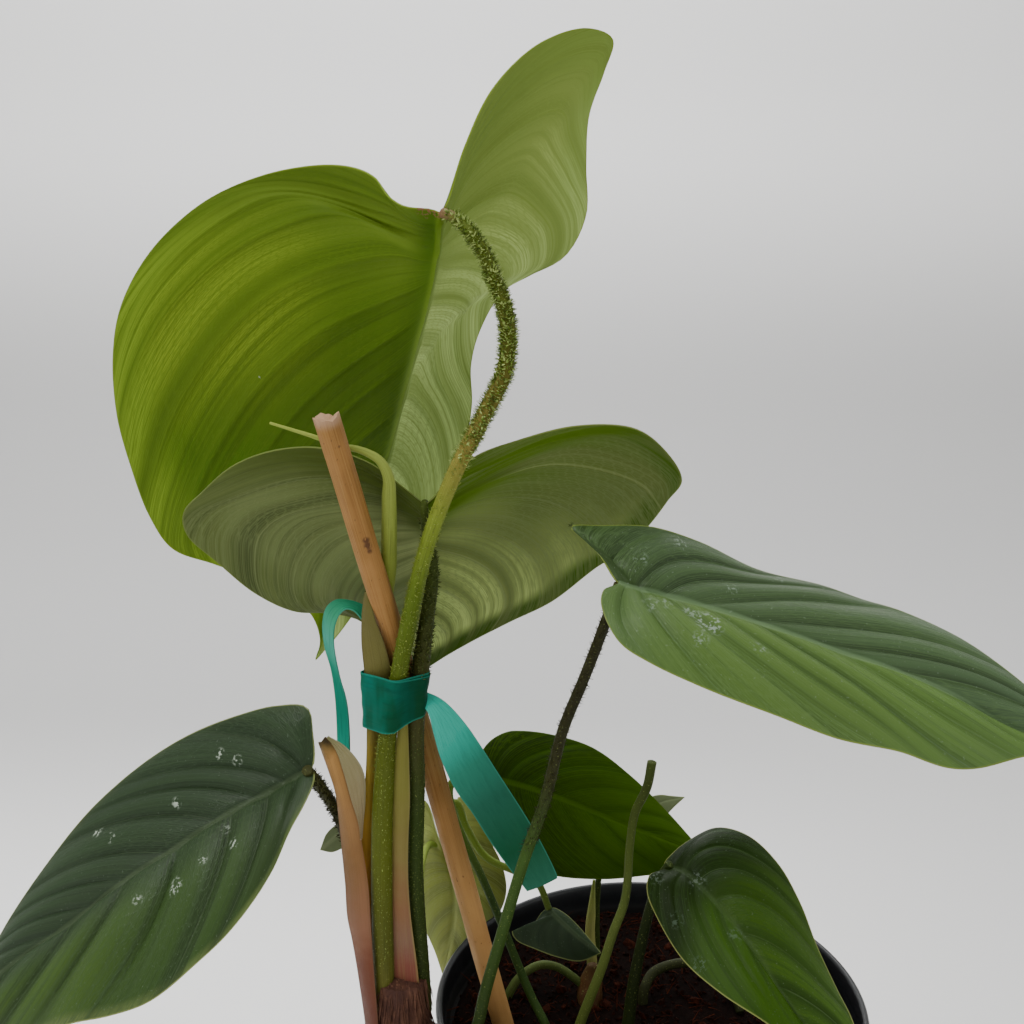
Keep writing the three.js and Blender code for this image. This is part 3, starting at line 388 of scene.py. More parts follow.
# Puff, hollow and turn have a number for the port half and one for the starboard half
BLADES = {
    "tall_leaf_blade": {
        "upper": -1, "quilt": 0.09, "puff": [3, 5], "arch": 0.16,
        "port_veins": [(0.04, 0.17, 4), (0.06, 0.24, 3.5), (0.08, 0.3, 3), (0.1, 0.34, 2.8),
            (0.13, 0.39, 1.9), (0.16, 0.51, 1.15), (0.2, 0.57, 0.55), (0.34, 0.63, 0.75),
            (0.44, 0.7, 0.85), (0.56, 0.75, 1), (0.68, 0.81, 1), (0.8, 0.88, 1), (0.9, 0.95, 1)],
        "starboard_veins": [(0.05, 0.25, 4), (0.08, 0.42, 4), (0.12, 0.55, 4), (0.17, 0.6, 2),
            (0.22, 0.7, 1.1), (0.26, 0.78, 0.7), (0.34, 0.85, 0.6), (0.45, 0.89, 0.6),
            (0.57, 0.92, 0.65), (0.7, 0.95, 0.7), (0.83, 0.975, 0.8)],
        "hollow": [0.1, 0.38], "turn": [0.32, 0.2],
        "rib": [[441, 213, -20], [438, 250, -14], [429, 298, -6], [412, 364, 8], [400, 409, 19],
            [388, 457, 30], [372, 505, 41], [350, 570, 53], [330, 622, 60], [316, 660, 64]],
        "port": [[447, 203, -19], [464, 149, -10], [494, 87, 2], [540, 43, 13], [588, 28, 22],
            [613, 40, 28], [604, 72, 29], [589, 115, 30], [586, 165, 32], [586, 215, 31],
            [565, 256, 29], [528, 276, 27], [503, 291, 27], [480, 330, 29], [471, 365, 32],
            [472, 402, 36], [468, 430, 40], [460, 456, 44], [444, 490, 50], [423, 522, 54],
            [385, 570, 58], [350, 619, 62], [334, 640, 63], [316, 660, 64]],
        "starboard": [[431, 209, -19], [404, 206, -16], [388, 196, -12], [375, 178, -6],
            [355, 168, 0], [320, 165, 8], [260, 176, 18], [202, 203, 26], [150, 252, 33],
            [121, 306, 38], [113, 355, 42], [117, 415, 46], [131, 467, 50], [150, 517, 54],
            [173, 549, 58], [214, 564, 60], [258, 580, 62], [296, 602, 63], [312, 616, 63.5],
            [320, 640, 64], [316, 660, 64]],
    },
    "broad_leaf_blade": {
        "upper": -1, "quilt": 0.08, "puff": [2, 2], "arch": 0.16,
        "port_veins": [(0.05, 0.28, 3), (0.08, 0.42, 4), (0.14, 0.5, 1), (0.18, 0.62, 0.8),
            (0.24, 0.76, 0.6), (0.36, 0.85, 0.6), (0.54, 0.9, 0.55), (0.7, 0.95, 0.6)],
        "starboard_veins": [(0.05, 0.2, 3), (0.09, 0.32, 3), (0.12, 0.42, 2.2), (0.15, 0.5, 1.6),
            (0.19, 0.68, 1.1), (0.25, 0.77, 0.85), (0.3, 0.86, 0.6), (0.42, 0.9, 0.6),
            (0.55, 0.93, 0.65), (0.7, 0.96, 0.7)],
        "hollow": [0.1, 0.02], "turn": [0.24, 0.18],
        "rib": [[425, 505, -33], [424, 530, -28], [422, 560, -21], [419, 600, -10], [415, 640, 2],
            [410, 680, 14]],
        "port": [[433, 498, -33], [450, 478, -33], [476, 456, -33], [516, 441, -34], [576, 426, -34],
            [633, 428, -31], [663, 448, -26], [682, 480, -20], [668, 500, -15], [649, 525, -10],
            [625, 550, -6], [598, 566, -2], [552, 601, 4], [509, 622, 8], [470, 642, 11],
            [439, 660, 13], [410, 680, 14]],
        "starboard": [[418, 499, -33], [403, 487, -33], [368, 462, -33], [322, 448, -33],
            [276, 450, -31], [234, 465, -27], [202, 492, -22], [183, 514, -17], [188, 536, -13],
            [216, 561, -9], [255, 593, -4], [294, 611, 0], [330, 613, 4], [361, 621, 7],
            [388, 650, 11], [410, 680, 14]],
    },
    "right_leaf_blade": {
        "upper": 1, "quilt": 0.16, "puff": [2, 3], "arch": 0.14,
        "port_veins": [(0.06, 0.3, 2), (0.13, 0.5, 1.2), (0.24, 0.58, 1), (0.35, 0.66, 0.8),
            (0.47, 0.86, 0.8), (0.58, 0.95, 0.6), (0.73, 0.975, 0.7)],
        "starboard_veins": [(0.06, 0.2, 1.5), (0.14, 0.33, 0.9), (0.26, 0.6, 1), (0.37, 0.69, 0.8),
            (0.47, 0.77, 0.7), (0.64, 0.87, 0.7), (0.8, 0.94, 0.8)],
        "hollow": [0.2, 0], "turn": [0.22, 0.1],
        "rib": [[619, 583, -56], [653, 593, -57], [715, 610, -59], [792, 635, -61], [838, 652, -62],
            [885, 667, -63], [947, 693, -64], [1002, 726, -65], [1040, 741, -65], [1080, 752, -66]],
        "port": [[614, 578, -55], [600, 556, -50], [582, 538, -47], [570, 527, -45], [600, 526, -42],
            [650, 527, -38], [699, 542, -34], [758, 570, -32], [823, 586, -31], [863, 600, -32],
            [900, 611, -34], [959, 638, -40], [1002, 667, -47], [1040, 699, -54], [1064, 726, -61],
            [1080, 752, -66]],
        "starboard": [[614, 587, -57], [604, 590, -59], [601, 604, -63], [619, 642, -71],
            [650, 663, -76], [699, 686, -81], [777, 716, -85], [838, 739, -86], [900, 752, -84],
            [947, 768, -82], [975, 769, -80], [1024, 757, -73], [1055, 753, -69], [1080, 752, -66]],
    },
    "left_leaf_blade": {
        "upper": 1, "quilt": 0.17, "puff": [3, 2], "arch": 0.14,
        "port_veins": [(0.12, 0.25, 2), (0.26, 0.35, 2), (0.38, 0.45, 2), (0.53, 0.6, 2),
            (0.64, 0.76, 1.3), (0.75, 0.85, 1.2), (0.86, 0.93, 1.2)],
        "starboard_veins": [(0.06, 0.33, 1), (0.18, 0.52, 1), (0.3, 0.58, 1), (0.42, 0.64, 1),
            (0.55, 0.74, 1), (0.64, 0.79, 1), (0.71, 0.84, 0.9), (0.78, 0.88, 0.8),
            (0.88, 0.95, 0.9)],
        "hollow": [0, 0.05], "turn": [0.12, 0.16],
        "rib": [[311, 768, -41], [280, 787, -42], [227, 815, -44], [173, 850, -46], [125, 881, -48],
            [80, 917, -49], [27, 954, -50], [0, 973, -51], [-40, 1003, -52], [-72, 1036, -53]],
        "port": [[314, 774, -43], [313, 784, -46], [304, 805, -51], [291, 829, -56], [269, 877, -64],
            [232, 929, -71], [195, 965, -75], [149, 1002, -77], [110, 1016, -77], [75, 1023, -75],
            [25, 1037, -69], [-25, 1043, -61], [-72, 1036, -53]],
        "starboard": [[314, 760, -40], [313, 735, -37], [308, 708, -33], [277, 706, -28],
            [240, 715, -24], [191, 734, -20], [139, 767, -19], [88, 813, -22], [40, 874, -28],
            [11, 917, -34], [-15, 962, -41], [-45, 1003, -48], [-72, 1036, -53]],
    },
    "back_leaf_blade": {
        "upper": 1, "quilt": 0.05, "puff": [2, 2], "arch": 0.14,
        "port_veins": COMMON_VEINS,
        "starboard_veins": COMMON_VEINS,
        "hollow": [0, 0], "turn": [0.2, 0.2],
        "rib": [[487, 777, 30], [520, 785, 30], [559, 798, 29], [625, 825, 27], [689, 850, 24],
            [716, 866, 23]],
        "port": [[484, 769, 31], [480, 757, 33], [489, 742, 37], [507, 732, 40], [523, 731, 41],
            [553, 735, 42], [593, 748, 41], [633, 778, 38], [670, 815, 33], [694, 842, 27],
            [716, 866, 23]],
        "starboard": [[484, 785, 29], [483, 812, 25], [497, 842, 21], [525, 866, 18], [557, 876, 17],
            [607, 879, 17], [650, 875, 19], [690, 872, 21], [716, 866, 23]],
    },
    "front_leaf_blade": {
        "upper": 1, "quilt": 0.07, "puff": [3, 2], "arch": 0.14,
        "port_veins": [(0.07, 0.25, 2), (0.2, 0.5, 2.2), (0.31, 0.6, 1.8), (0.42, 0.7, 1.6),
            (0.57, 0.84, 1.1), (0.74, 0.93, 1)],
        "starboard_veins": [(0.08, 0.28, 2), (0.2, 0.5, 2.4), (0.28, 0.72, 1.2), (0.45, 0.82, 1.1),
            (0.63, 0.9, 1), (0.8, 0.96, 1)],
        "hollow": [0, 0], "turn": [0.2, 0.2],
        "rib": [[668, 868, -3], [684, 872, -7], [703, 890, -13], [725, 915, -21], [752, 950, -32],
            [780, 992, -43], [812, 1035, -52], [862, 1088, -62]],
        "port": [[664, 864, -1], [673, 853, 2], [687, 842, 6], [717, 828, 9], [748, 836, 6],
            [778, 864, -2], [800, 903, -12], [817, 947, -25], [837, 990, -37], [852, 1020, -46],
            [862, 1055, -55], [862, 1088, -62]],
        "starboard": [[661, 871, -5], [649, 876, -9], [647, 893, -14], [657, 918, -20],
            [683, 960, -32], [720, 993, -44], [767, 1024, -54], [815, 1060, -60], [862, 1088, -62]],
    },
    "old_leaf_blade": {
        "upper": 1, "quilt": 0.05, "puff": [2, 2], "arch": 0.1,
        "port_veins": COMMON_VEINS,
        "starboard_veins": COMMON_VEINS,
        "hollow": [0, 0], "turn": [0.4, 0.4],
        "rib": [[441, 846, 63], [450, 868, 62], [455, 892, 62], [453, 930, 63], [443, 975, 64]],
        "port": [[447, 840, 62], [453, 818, 61], [460, 796, 60], [474, 808, 60], [490, 840, 61],
            [503, 868, 62], [506, 893, 63], [496, 918, 64], [470, 945, 64], [443, 975, 64]],
        "starboard": [[435, 839, 63], [432, 815, 63], [424, 800, 63], [413, 812, 64], [410, 850, 65],
            [414, 895, 65], [425, 928, 65], [435, 951, 65], [443, 975, 64]],
    },
    "soil_leaf_blade": {
        "upper": 1, "quilt": 0.05, "puff": [1, 1], "arch": 0.1,
        "port_veins": COMMON_VEINS,
        "starboard_veins": COMMON_VEINS,
        "hollow": [0, 0], "turn": [0.2, 0.3],
        "rib": [[548, 909, 20], [560, 920, 17], [578, 936, 13], [601, 953, 10]],
        "port": [[554, 908, 21], [565, 914, 20], [577, 925, 17], [590, 940, 13], [601, 953, 10]],
        "starboard": [[543, 911, 20], [533, 925, 17], [524, 930, 15], [512, 932, 13], [516, 940, 12],
            [535, 949, 11], [557, 957, 10], [580, 961, 10], [601, 953, 10]],
    },
    "hidden_leaf_blade": {
        "upper": 1, "quilt": 0.05, "puff": [1, 1], "arch": 0.1,
        "port_veins": COMMON_VEINS,
        "starboard_veins": COMMON_VEINS,
        "hollow": [0, 0], "turn": [0.2, 0.2],
        "rib": [[610, 850, 50], [632, 826, 50], [658, 803, 49], [685, 797, 47]],
        "port": [[610, 841, 50], [622, 820, 50], [640, 802, 50], [658, 795, 49], [672, 796, 48],
            [685, 797, 47]],
        "starboard": [[617, 854, 50], [640, 842, 49], [660, 822, 48], [673, 808, 47], [685, 797, 47]],
    },
    "bud_leaf_blade": {
        "upper": 1, "quilt": 0.05, "puff": [1, 1], "arch": 0.1,
        "port_veins": COMMON_VEINS,
        "starboard_veins": COMMON_VEINS,
        "hollow": [0, 0], "turn": [0.2, 0.2],
        "rib": [[352, 828, -14], [340, 834, -15], [320, 850, -18]],
        "port": [[355, 833, -15], [346, 845, -17], [333, 852, -18], [320, 850, -18]],
        "starboard": [[349, 823, -13], [338, 824, -14], [327, 833, -16], [320, 850, -18]],
    },
}
print(len(BLADES), "blades")

# %% Blades from rib, margins and veins
# Rows along the rib, and columns from the rib to each margin
FINENESS_OF_BLADE = {
    "tall_leaf_blade": (240, 62), "broad_leaf_blade": (190, 52), "right_leaf_blade": (170, 44),
    "left_leaf_blade": (170, 44), "front_leaf_blade": (130, 36), "back_leaf_blade": (100, 30),
    "old_leaf_blade": (80, 24), "soil_leaf_blade": (50, 18), "hidden_leaf_blade": (30, 12),
    "bud_leaf_blade": (40, 12)}
THICK = 0.0009
THIN = 0.0005
RIB_HEIGHT, RIB_REACH = 0.0011, 0.0013
VEIN_HEIGHT, VEIN_REACH = 0.0004, 0.0009
DEEPEST_FURROW = 0.0003
FULL_WIDTH = 0.025
WIDEST_QUILT = 0.028
QUILT_LEVEL = 0.62
FAN = 0.8


def rib_share(share):
    """The share of the rib's length that goes with a share of the margin's length."""
    return 0.22 * share + 0.78 * share ** 2.1


def spacing_of(grid, phase):
    """How far apart two neighbouring veins lie, at each point of a grid."""
    down, over = np.gradient(grid, axis=0), np.gradient(grid, axis=1)
    p_down, p_over = np.gradient(phase, axis=0), np.gradient(phase, axis=1)
    dd, oo, do = (down * down).sum(-1), (over * over).sum(-1), (down * over).sum(-1)
    area = np.maximum(dd * oo - do * do, 1e-16)
    slope = (oo * p_down ** 2 - 2 * do * p_down * p_over + dd * p_over ** 2) / area
    return 1 / np.sqrt(np.maximum(slope, 1.0))


def vein_places(families, reach):
    """Where each side vein lies at each reach, as shares of the margin's length."""
    rows = [(0, 0, 1)] + families + [(1, 1, 1)]
    return np.array([root + (end - root) * reach ** power for root, end, power in rows])


def row_shares(shape, count):
    """Shares of the rows along the rib, closer together where the veins fan out to the margin."""
    fine = np.linspace(0, 1, 2000)
    steps = np.full(len(fine) - 1, 1 / len(fine))
    for edge in ("port_veins", "starboard_veins"):
        roots, ends = vein_places(shape[edge], np.array([0.0, 1.0])).T
        steps += np.diff(np.interp(fine, roots, ends)) * FAN
    passed = np.concatenate([[0], np.cumsum(steps)])
    return np.interp(np.linspace(0, 1, count + 1), passed / passed[-1], fine)


def half_blade(shape, rib, half, edge, share, reach):
    """Points of one half of a blade, from the rib to the margin, and what they carry."""
    places = vein_places(shape[edge + "_veins"], reach)
    numbers = np.arange(len(places))
    number = np.interp(share, places[:, 0], numbers)
    t = np.stack([np.interp(number, numbers, column) for column in places.T], axis=1)
    r = reach[None, :, None]
    root, forward = rib.at(rib_share(t)), rib.heading(rib_share(t))
    margin = Way(sight(shape["rib"][:1] + shape[edge])).at(t)
    outward = margin - root
    width = np.linalg.norm(outward, axis=-1, keepdims=True)
    turn = np.cross(forward, unit(outward)) * (1 - 2 * half)
    facing = unit(turn + turn[len(turn) // 3:].mean(axis=(0, 1)) * 1.2)
    t = t[..., None]
    past = rise(t, 0.6 * shape["turn"][half], 1.5 * shape["turn"][half])
    arch = shape["arch"] * past - shape["hollow"][half] * (1 - past)
    bend = (root + margin) / 2 - forward * arch * width
    line = root * (1 - r) ** 2 + bend * 2 * r * (1 - r) + margin * r ** 2
    phase = number[:, None, None] + 0 * t
    spacing = spacing_of(line, phase[..., 0])[..., None]
    place = phase % 1
    dome = 4 * place * (1 - place) - QUILT_LEVEL
    quilt = shape["quilt"] * np.minimum(spacing, WIDEST_QUILT) * dome
    quilt = quilt * np.sin(np.pi * r ** 0.7) ** 0.8 * rise(spacing, 0.002, 0.006)
    full = np.minimum(1, width / FULL_WIDTH) * rise(t, 0.06, 0.2)
    puff = shape["puff"][half] * 4 * r * (1 - r) / 1000 * full
    line = line + facing * shape["upper"] * (quilt + puff)
    leaf = np.concatenate([t, (2 * half - 1) * r + 0 * t, phase], axis=2)
    gap = np.concatenate([r * width, (1 - r) * width, spacing], axis=2)
    return line, leaf, gap


def blade(name):
    """The sheet of one blade."""
    shape = BLADES[name]
    rib = Way(sight(shape["rib"]))
    rows, columns = FINENESS_OF_BLADE[name]
    share = row_shares(shape, rows)
    reach = np.linspace(0, 1, columns + 1)
    port = half_blade(shape, rib, 0, "port", share, reach)
    starboard = half_blade(shape, rib, 1, "starboard", share, reach)
    grid, leaf, gap = [np.concatenate([a[:, :0:-1], b], axis=1) for a, b in zip(port, starboard)]
    grid[0], grid[-1] = grid[0, 0], grid[-1, 0]
    out = np.abs(leaf[..., 1])
    full = np.minimum(1, (gap[..., 0] + gap[..., 1]) / FULL_WIDTH)
    ends = rise(share, 0, 0.05)[:, None] * (1 - rise(share, 0.95, 1))[:, None]
    body = (THIN + (THICK - THIN) * (1 - out)) / 2
    ridge = RIB_HEIGHT * np.exp(-(gap[..., 0] / RIB_REACH) ** 2) * ends * full * (1 - 0.6 * share[:, None])
    vein = np.abs((leaf[..., 2] + 0.5) % 1 - 0.5) * gap[..., 2]
    ridge += (VEIN_HEIGHT * np.exp(-(vein / VEIN_REACH) ** 2) * ends * full
              * rise(out, 0.02, 0.1) * (1 - rise(out, 0.8, 1)))
    furrow = np.minimum(0.5 * ridge, DEEPEST_FURROW)
    upper, under = body - furrow, body + ridge
    front, rear = (upper, under) if shape["upper"] == 1 else (under, upper)
    return sheet(grid, front, rear, {"leaf": leaf, "gap": gap})


# How far the bands of painted shade on an underside lie beside the veins, as a share of their spacing
SHADED_SIDE = 0.14
NET = 30


def leaf_finish(name, top, under, rough, margin, shine=0.3, marks=(), streaks=0.5, lines=0.6,
                rib_line=0.6, dusty=0.0):
    """
    A leaf with two looks, top and under. A look is the tones of the port and starboard half,
    the zones laid over them, and the tones of the dark streaks and of the painted shade in
    bands beside the veins, of the veins and of the fine net. All but the veins have a tone for
    each half, and a zone may leave out one of them.
    """
    finish = Finish(name, {"Specular IOR Level": shine})
    leaf = finish.split(finish.carried("leaf", "Vector"))
    gap = finish.split(finish.carried("gap", "Vector"))
    reach, from_rib, from_margin, spacing = leaf.other("Y"), gap, gap.other("Y"), gap.other("Z")
    upper = finish.carried("upper")
    half = finish.soft(reach, -0.03, 0.03)
    patch = finish.noise(30, 4, 0.6)
    cloud = finish.noise(420, 5, 0.7)
    measures = {"rib": from_rib, "margin": from_margin, "joint": leaf, "tip": 1 - leaf,
                "notch": from_margin + leaf * 0.02}
    phase = leaf.other("Z") + (finish.noise(16, 1) - 0.5) * 0.16
    vary = finish.add("ShaderNodeTexWhiteNoise", {"noise_dimensions": "1D"}, {
        "W": phase.math("ROUND", phase) + half.math("ROUND", half) * 20})
    open_up = finish.soft(spacing, 0.002, 0.008)
    wide = finish.soft(spacing, 0.004, 0.012)

    def near_vein(shift, inner, outer):
        place = phase.math("FRACT", phase + shift) - 0.5
        return finish.soft(place.math("ABSOLUTE", place) * 2, inner, outer)

    # Painted shade: bands darker near the veins, off to one side of each vein on the underside and on the
    # vein itself on the upper side, where the quilted relief lies in shade
    shade_bands = [near_vein(shift, 0.25, 1.0) * open_up * (vary * 0.8 + 0.2) for shift in (SHADED_SIDE, 0)]
    line = near_vein(0, 0.955, 0.99) * finish.soft(from_rib, 0.0005, 0.004) * open_up * vary

    def along_veins(across, along):
        return finish.add("ShaderNodeCombineXYZ", sockets={"X": phase * across, "Y": from_rib * along})

    def streaks_of(where, detail):
        return finish.add("ShaderNodeTexNoise", {"noise_dimensions": "2D"}, {
            "Vector": where, "Scale": 1.0, "Detail": detail, "Roughness": 0.6})

    broad_streaks = streaks_of(along_veins(4.5, 6), 4)
    fine_streaks = streaks_of(along_veins(24, 20), 3)
    net_lines = {"voronoi_dimensions": "2D", "feature": "DISTANCE_TO_EDGE"}
    cells = finish.add("ShaderNodeTexVoronoi", net_lines, {
        "Vector": along_veins(NET, 330), "Scale": 1.0, "Randomness": 0.8}, "Distance")
    hairs = (1 - finish.soft(cells, 0.02, 0.2)) * wide
    rib = 1 - finish.soft(from_rib, 0.0006, 0.0016)
    sides = []
    for (halves, zones, dark, vein, hair), shade_band in zip((under, top), shade_bands):
        tone = finish.mix(half, *map(hue, halves))
        for measure, near, far, *halves in zones:
            share = 1 - finish.soft(measures[measure] + (patch - 0.5) * (far - near) * 0.5, near, far)
            zone = finish.mix(half, *[hue(code) if code else tone for code in halves])
            tone = finish.mix(share, tone, zone)
        dark, hair = finish.mix(half, *map(hue, dark)), finish.mix(half, *map(hue, hair))
        tone = finish.mix(finish.soft(broad_streaks, 0.48, 0.72) * streaks * open_up, tone, dark)
        tone = finish.mix(shade_band * 0.9, tone, dark)
        tone = finish.mix(finish.soft(fine_streaks, 0.42, 0.7) * streaks * open_up, tone, hair)
        tone = finish.mix(hairs * 0.4, tone, hair)
        tone = finish.mix(line * lines, tone, hue(vein))
        sides.append(finish.mix(rib * rib_line, tone, hue(vein)))
    colour = finish.mix(upper, *sides)
    edge = 1 - finish.soft(from_margin, 0.0001, 0.0006)
    colour = finish.mix(edge * 0.8, colour, hue(margin))
    flakes = finish.soft(finish.noise(800, 2, 0.6), 0.5, 0.6)
    for spot, inner, outer, code, strength in marks:
        share = finish.near(sight([spot])[0], inner / 1000, outer / 1000) * flakes * strength
        colour = finish.mix(share, colour, hue(code))
    dots = finish.soft(finish.noise(1300, 1), 0.7, 0.76) * dusty
    colour = finish.mix(dots * upper, colour, hue("8fa08c"))
    roughness = upper * (rough[0] - rough[1]) + rough[1] + (cloud - 0.5) * 0.15
    height = cloud * 0.2 + hairs * 0.3 + fine_streaks * 0.6
    return finish.wear(colour, roughness, height, 0.35, 0.0005)


def plain_look(tone, dark, vein, hair, *zones):
    """A look whose two halves are alike."""
    return (tone, tone), zones, (dark, dark), vein, (hair, hair)


def flecks(*places, size, code, strength):
    """Marks of one kind, their size in millimetres, for these places as seen."""
    return [(place, size * 0.3, size, code, strength) for place in places]


PALE_UNDERSIDE = plain_look("55623c", "414d2d", "7c8758", "626f48")
TALL = leaf_finish(
    "tall leaf", rough=(0.55, 0.6), shine=0.08, margin="7a9028", streaks=0.6, lines=0.3, rib_line=0.35,
    top=plain_look("3c5a1e", "2c4617", "6d8a3a", "48682a"),
    under=(("93a650", "7c9525"),
           [("tip", 0.32, 0.48, None, "486c0b"), ("rib", 0.004, 0.04, "a4bc65", None),
            ("rib", 0.02, 0.062, None, "4e6d12"), ("margin", 0.002, 0.022, "78943a", "7c9a28"),
            # The pale tip zone of the port half is partly painted light: besides the half's own pale tone,
            # it stands for the light from the floor on that part
            ("tip", 0.4, 0.8, "c5df87", None), ("joint", 0.14, 0.4, "70863a", None),
            ("joint", 0.28, 0.46, None, "5c7420"), ("rib", 0.002, 0.014, None, "3e5c0c")],
           ("6f8437", "3a530c"), "66801c", ("819646", "556f16")),
    marks=flecks((260, 378, 31.3), size=1.5, code="ffffff", strength=1)
    + flecks((437, 211, -20), (424, 210, -19), size=4, code="80543e", strength=0.9))
BROAD = leaf_finish(
    "broad leaf", rough=(0.4, 0.65), shine=0.1, margin="6f7c3c", lines=0.35, rib_line=0.3,
    top=plain_look("3a5524", "2b431b", "64803b", "45622c"),
    under=(("54622e", "687442"),
           # The pale port tone of the tip zone is partly painted light: it stands for the light from the
           # floor on the lower part of that half
           [("rib", 0.006, 0.035, "849350", "98a468"), ("tip", 0.1, 0.55, "c6db81", "727e4a"),
            ("margin", 0.004, 0.011, "38540a", None), ("margin", 0.008, 0.02, None, "5a6634"),
            ("joint", 0.24, 0.46, "46620c", None), ("joint", 0.26, 0.42, None, "48561e"),
            ("notch", 0.002, 0.0032, "36420f", "36420f")],
           ("56622f", "343e1c"), "87925e", ("677546", "6e7a4a")),
    marks=flecks((570, 524, -14.6), size=1.6, code="23300e", strength=0.8))
MID = leaf_finish(
    "right leaf", rough=(0.38, 0.6), margin="7a8a38", shine=0.2, dusty=0.25,
    top=(("3d5232", "526d30"),
         [("tip", 0.1, 0.5, "435a3a", "547430"), ("joint", 0.1, 0.3, "30451f", "506a38")],
         ("223218", "30481f"), "66805a", ("4e683c", "5c7740")),
    under=PALE_UNDERSIDE,
    marks=flecks((709, 624, -66), size=5.5, code="a8b8ac", strength=0.7)
    + flecks((690, 612, -62.8), (650, 605, -62.9), (700, 640, -71.8), (668, 600, -62),
             size=3.6, code="8ea08e", strength=0.6)
    + flecks((730, 590, -50.3), (760, 650, -70.9), (640, 560, -51), (680, 545, -40.5),
             (780, 575, -36), size=3.2, code="8ea08e", strength=0.55))
DARK = leaf_finish(
    "left leaf", rough=(0.42, 0.6), margin="8a9458", shine=0.2, dusty=0.15,
    top=(("344c1f", "293b23"),
         [("tip", 0.25, 0.5, "425c1e", "2d4027"), ("joint", 0.15, 0.4, "2a3c1c", None),
          ("margin", 0.0008, 0.004, "5c6c3a", "34442a"), ("rib", 0.002, 0.02, "2a3c24", "283822")],
         ("1e2c17", "1a2616"), "46563a", ("3c5230", "374a30")),
    under=PALE_UNDERSIDE,
    marks=flecks((221, 754, -30.5), (238, 760, -34), (178, 803, -36.3), (98, 832, -30.8),
                 (113, 838, -35.4), (235, 844, -54.2), (204, 861, -54.7), (139, 901, -57),
                 (225, 827, -49), size=2.6, code="b4c0b0", strength=0.9)
    + flecks((177, 887, -57.6), size=4, code="b4c0b0", strength=0.9))
BACK = leaf_finish(
    "back leaf", rough=(0.5, 0.6), margin="4a5f20", shine=0.05,
    top=plain_look("344f0a", "223a06", "3f5c14", "3a560a", ("joint", 0.35, 0.75, "182803", "182803")),
    under=PALE_UNDERSIDE)
FRONT_LEAF = leaf_finish(
    "front leaf", rough=(0.36, 0.55), margin="8a8f50", shine=0.09, dusty=0.15, rib_line=0.25,
    top=(("324b0f", "314d0d"),
         [("tip", 0.1, 0.6, "405c1c", "304c0e"), ("joint", 0.3, 0.5, "122003", "142203")],
         ("1c2e0c", "1c2e0c"), "4a5e3a", ("2b4416", "2b4416")),
    under=PALE_UNDERSIDE,
    # The two pale marks near the joint of the front leaf are painted highlights on its glossy top
    marks=flecks((655, 875, -8.7), (697, 880, -10.2), size=4.5, code="7f8c80", strength=0.35)
    + flecks((676, 920, -22.1), (735, 935, -28), (700, 965, -35.4),
             size=4, code="5f7260", strength=0.35))
OLD = leaf_finish(
    "old leaf", rough=(0.5, 0.6), margin="8a9048",
    top=(("707c28", "748028"),
         [("joint", 0.2, 0.4, "a4ae5c", "a4ae5c"), ("rib", 0.001, 0.01, "7a8034", "7a8034")],
         ("525a24", "525a24"), "8b9450", ("7f8748", "7f8748")),
    under=plain_look("6f7540", "555b2c", "8a8f55", "7a8048"))
SHADED = leaf_finish(
    "shaded young leaf", rough=(0.5, 0.6), margin="8a9468", shine=0.1,
    top=plain_look("7f8c66", "66744c", "96a27c", "8a9670"),
    under=plain_look("8a9670", "707c54", "9aa680", "8e9a74"))
BLADE_LOOKS = {
    "tall_leaf_blade": ("tall_leaf", TALL, "tall_leaf_green"),
    "broad_leaf_blade": ("broad_leaf", BROAD, "grey_leaf_green"),
    "right_leaf_blade": ("right_leaf", MID, "mid_leaf_green"),
    "left_leaf_blade": ("left_leaf", DARK, "dark_leaf_green"),
    "back_leaf_blade": ("back_leaf", BACK, "deep_leaf_green"),
    "front_leaf_blade": ("front_leaf", FRONT_LEAF, "mid_leaf_green"),
    "old_leaf_blade": ("old_leaf", OLD, "yellow_leaf_green"),
    "soil_leaf_blade": ("soil_leaf", DARK, "dark_leaf_green"),
    "hidden_leaf_blade": ("hidden_leaf", SHADED, "grey_leaf_green"),
    "bud_leaf_blade": ("bud_leaf", SHADED, "dark_leaf_green"),
}
for node, (name, finish, slot) in BLADE_LOOKS.items():
    points, faces, values = blade(node)
    side = values.pop("side")
    values["upper"] = side if BLADES[node]["upper"] == 1 else 1 - side
    leaf_piece = piece(name, (points, faces, values), finish, slot, node)
    print(name, len(leaf_piece.data.polygons), "faces")

# %% [markdown]
# ## Scales, bristles and fibres
# The stalks of this plant are its sign: green scales and bristles cover them, and the creeping
# stem is covered with the fibres of old bark. Thousands of small repeats are a job for Geometry
# Nodes. One tree scatters slim bent cones over a surface, lets them lean along the stalk, and
# joins them to it. Each stalk gives the tree its own length, width and number.

# %% A tree that grows scales
def open_tree(name, measures, counts):
    """A geometry tree whose inputs are a geometry, these measures and counts, and a finish."""
    tree = bpy.data.node_groups.new(name, "GeometryNodeTree")
    kinds = {"Geometry": "Geometry", **dict.fromkeys(measures, "Float"),
             **dict.fromkeys(counts, "Int"), "Finish": "Material"}
    for socket, kind in kinds.items():
        tree.interface.new_socket(socket, in_out="INPUT", socket_type="NodeSocket" + kind)
    tree.interface.new_socket("Geometry", in_out="OUTPUT", socket_type="NodeSocketGeometry")
    nodes = Nodes(tree)
    return nodes, nodes.add("NodeGroupInput", out="Geometry")


def carried_by(nodes, name, kind="FLOAT"):
    """What the points of the geometry carry under this name."""
    return nodes.add("GeometryNodeInputNamedAttribute", {"data_type": kind}, {"Name": name}, "Attribute")


def spread(nodes, given):
    """Points spread at random over those faces that are marked as scaly."""
    density = given.other("Density") * carried_by(nodes, "scaly")
    return nodes.add("GeometryNodeDistributePointsOnFaces", sockets={
        "Mesh": given, "Density": density, "Seed": given.other("Seed")}, out="Points")


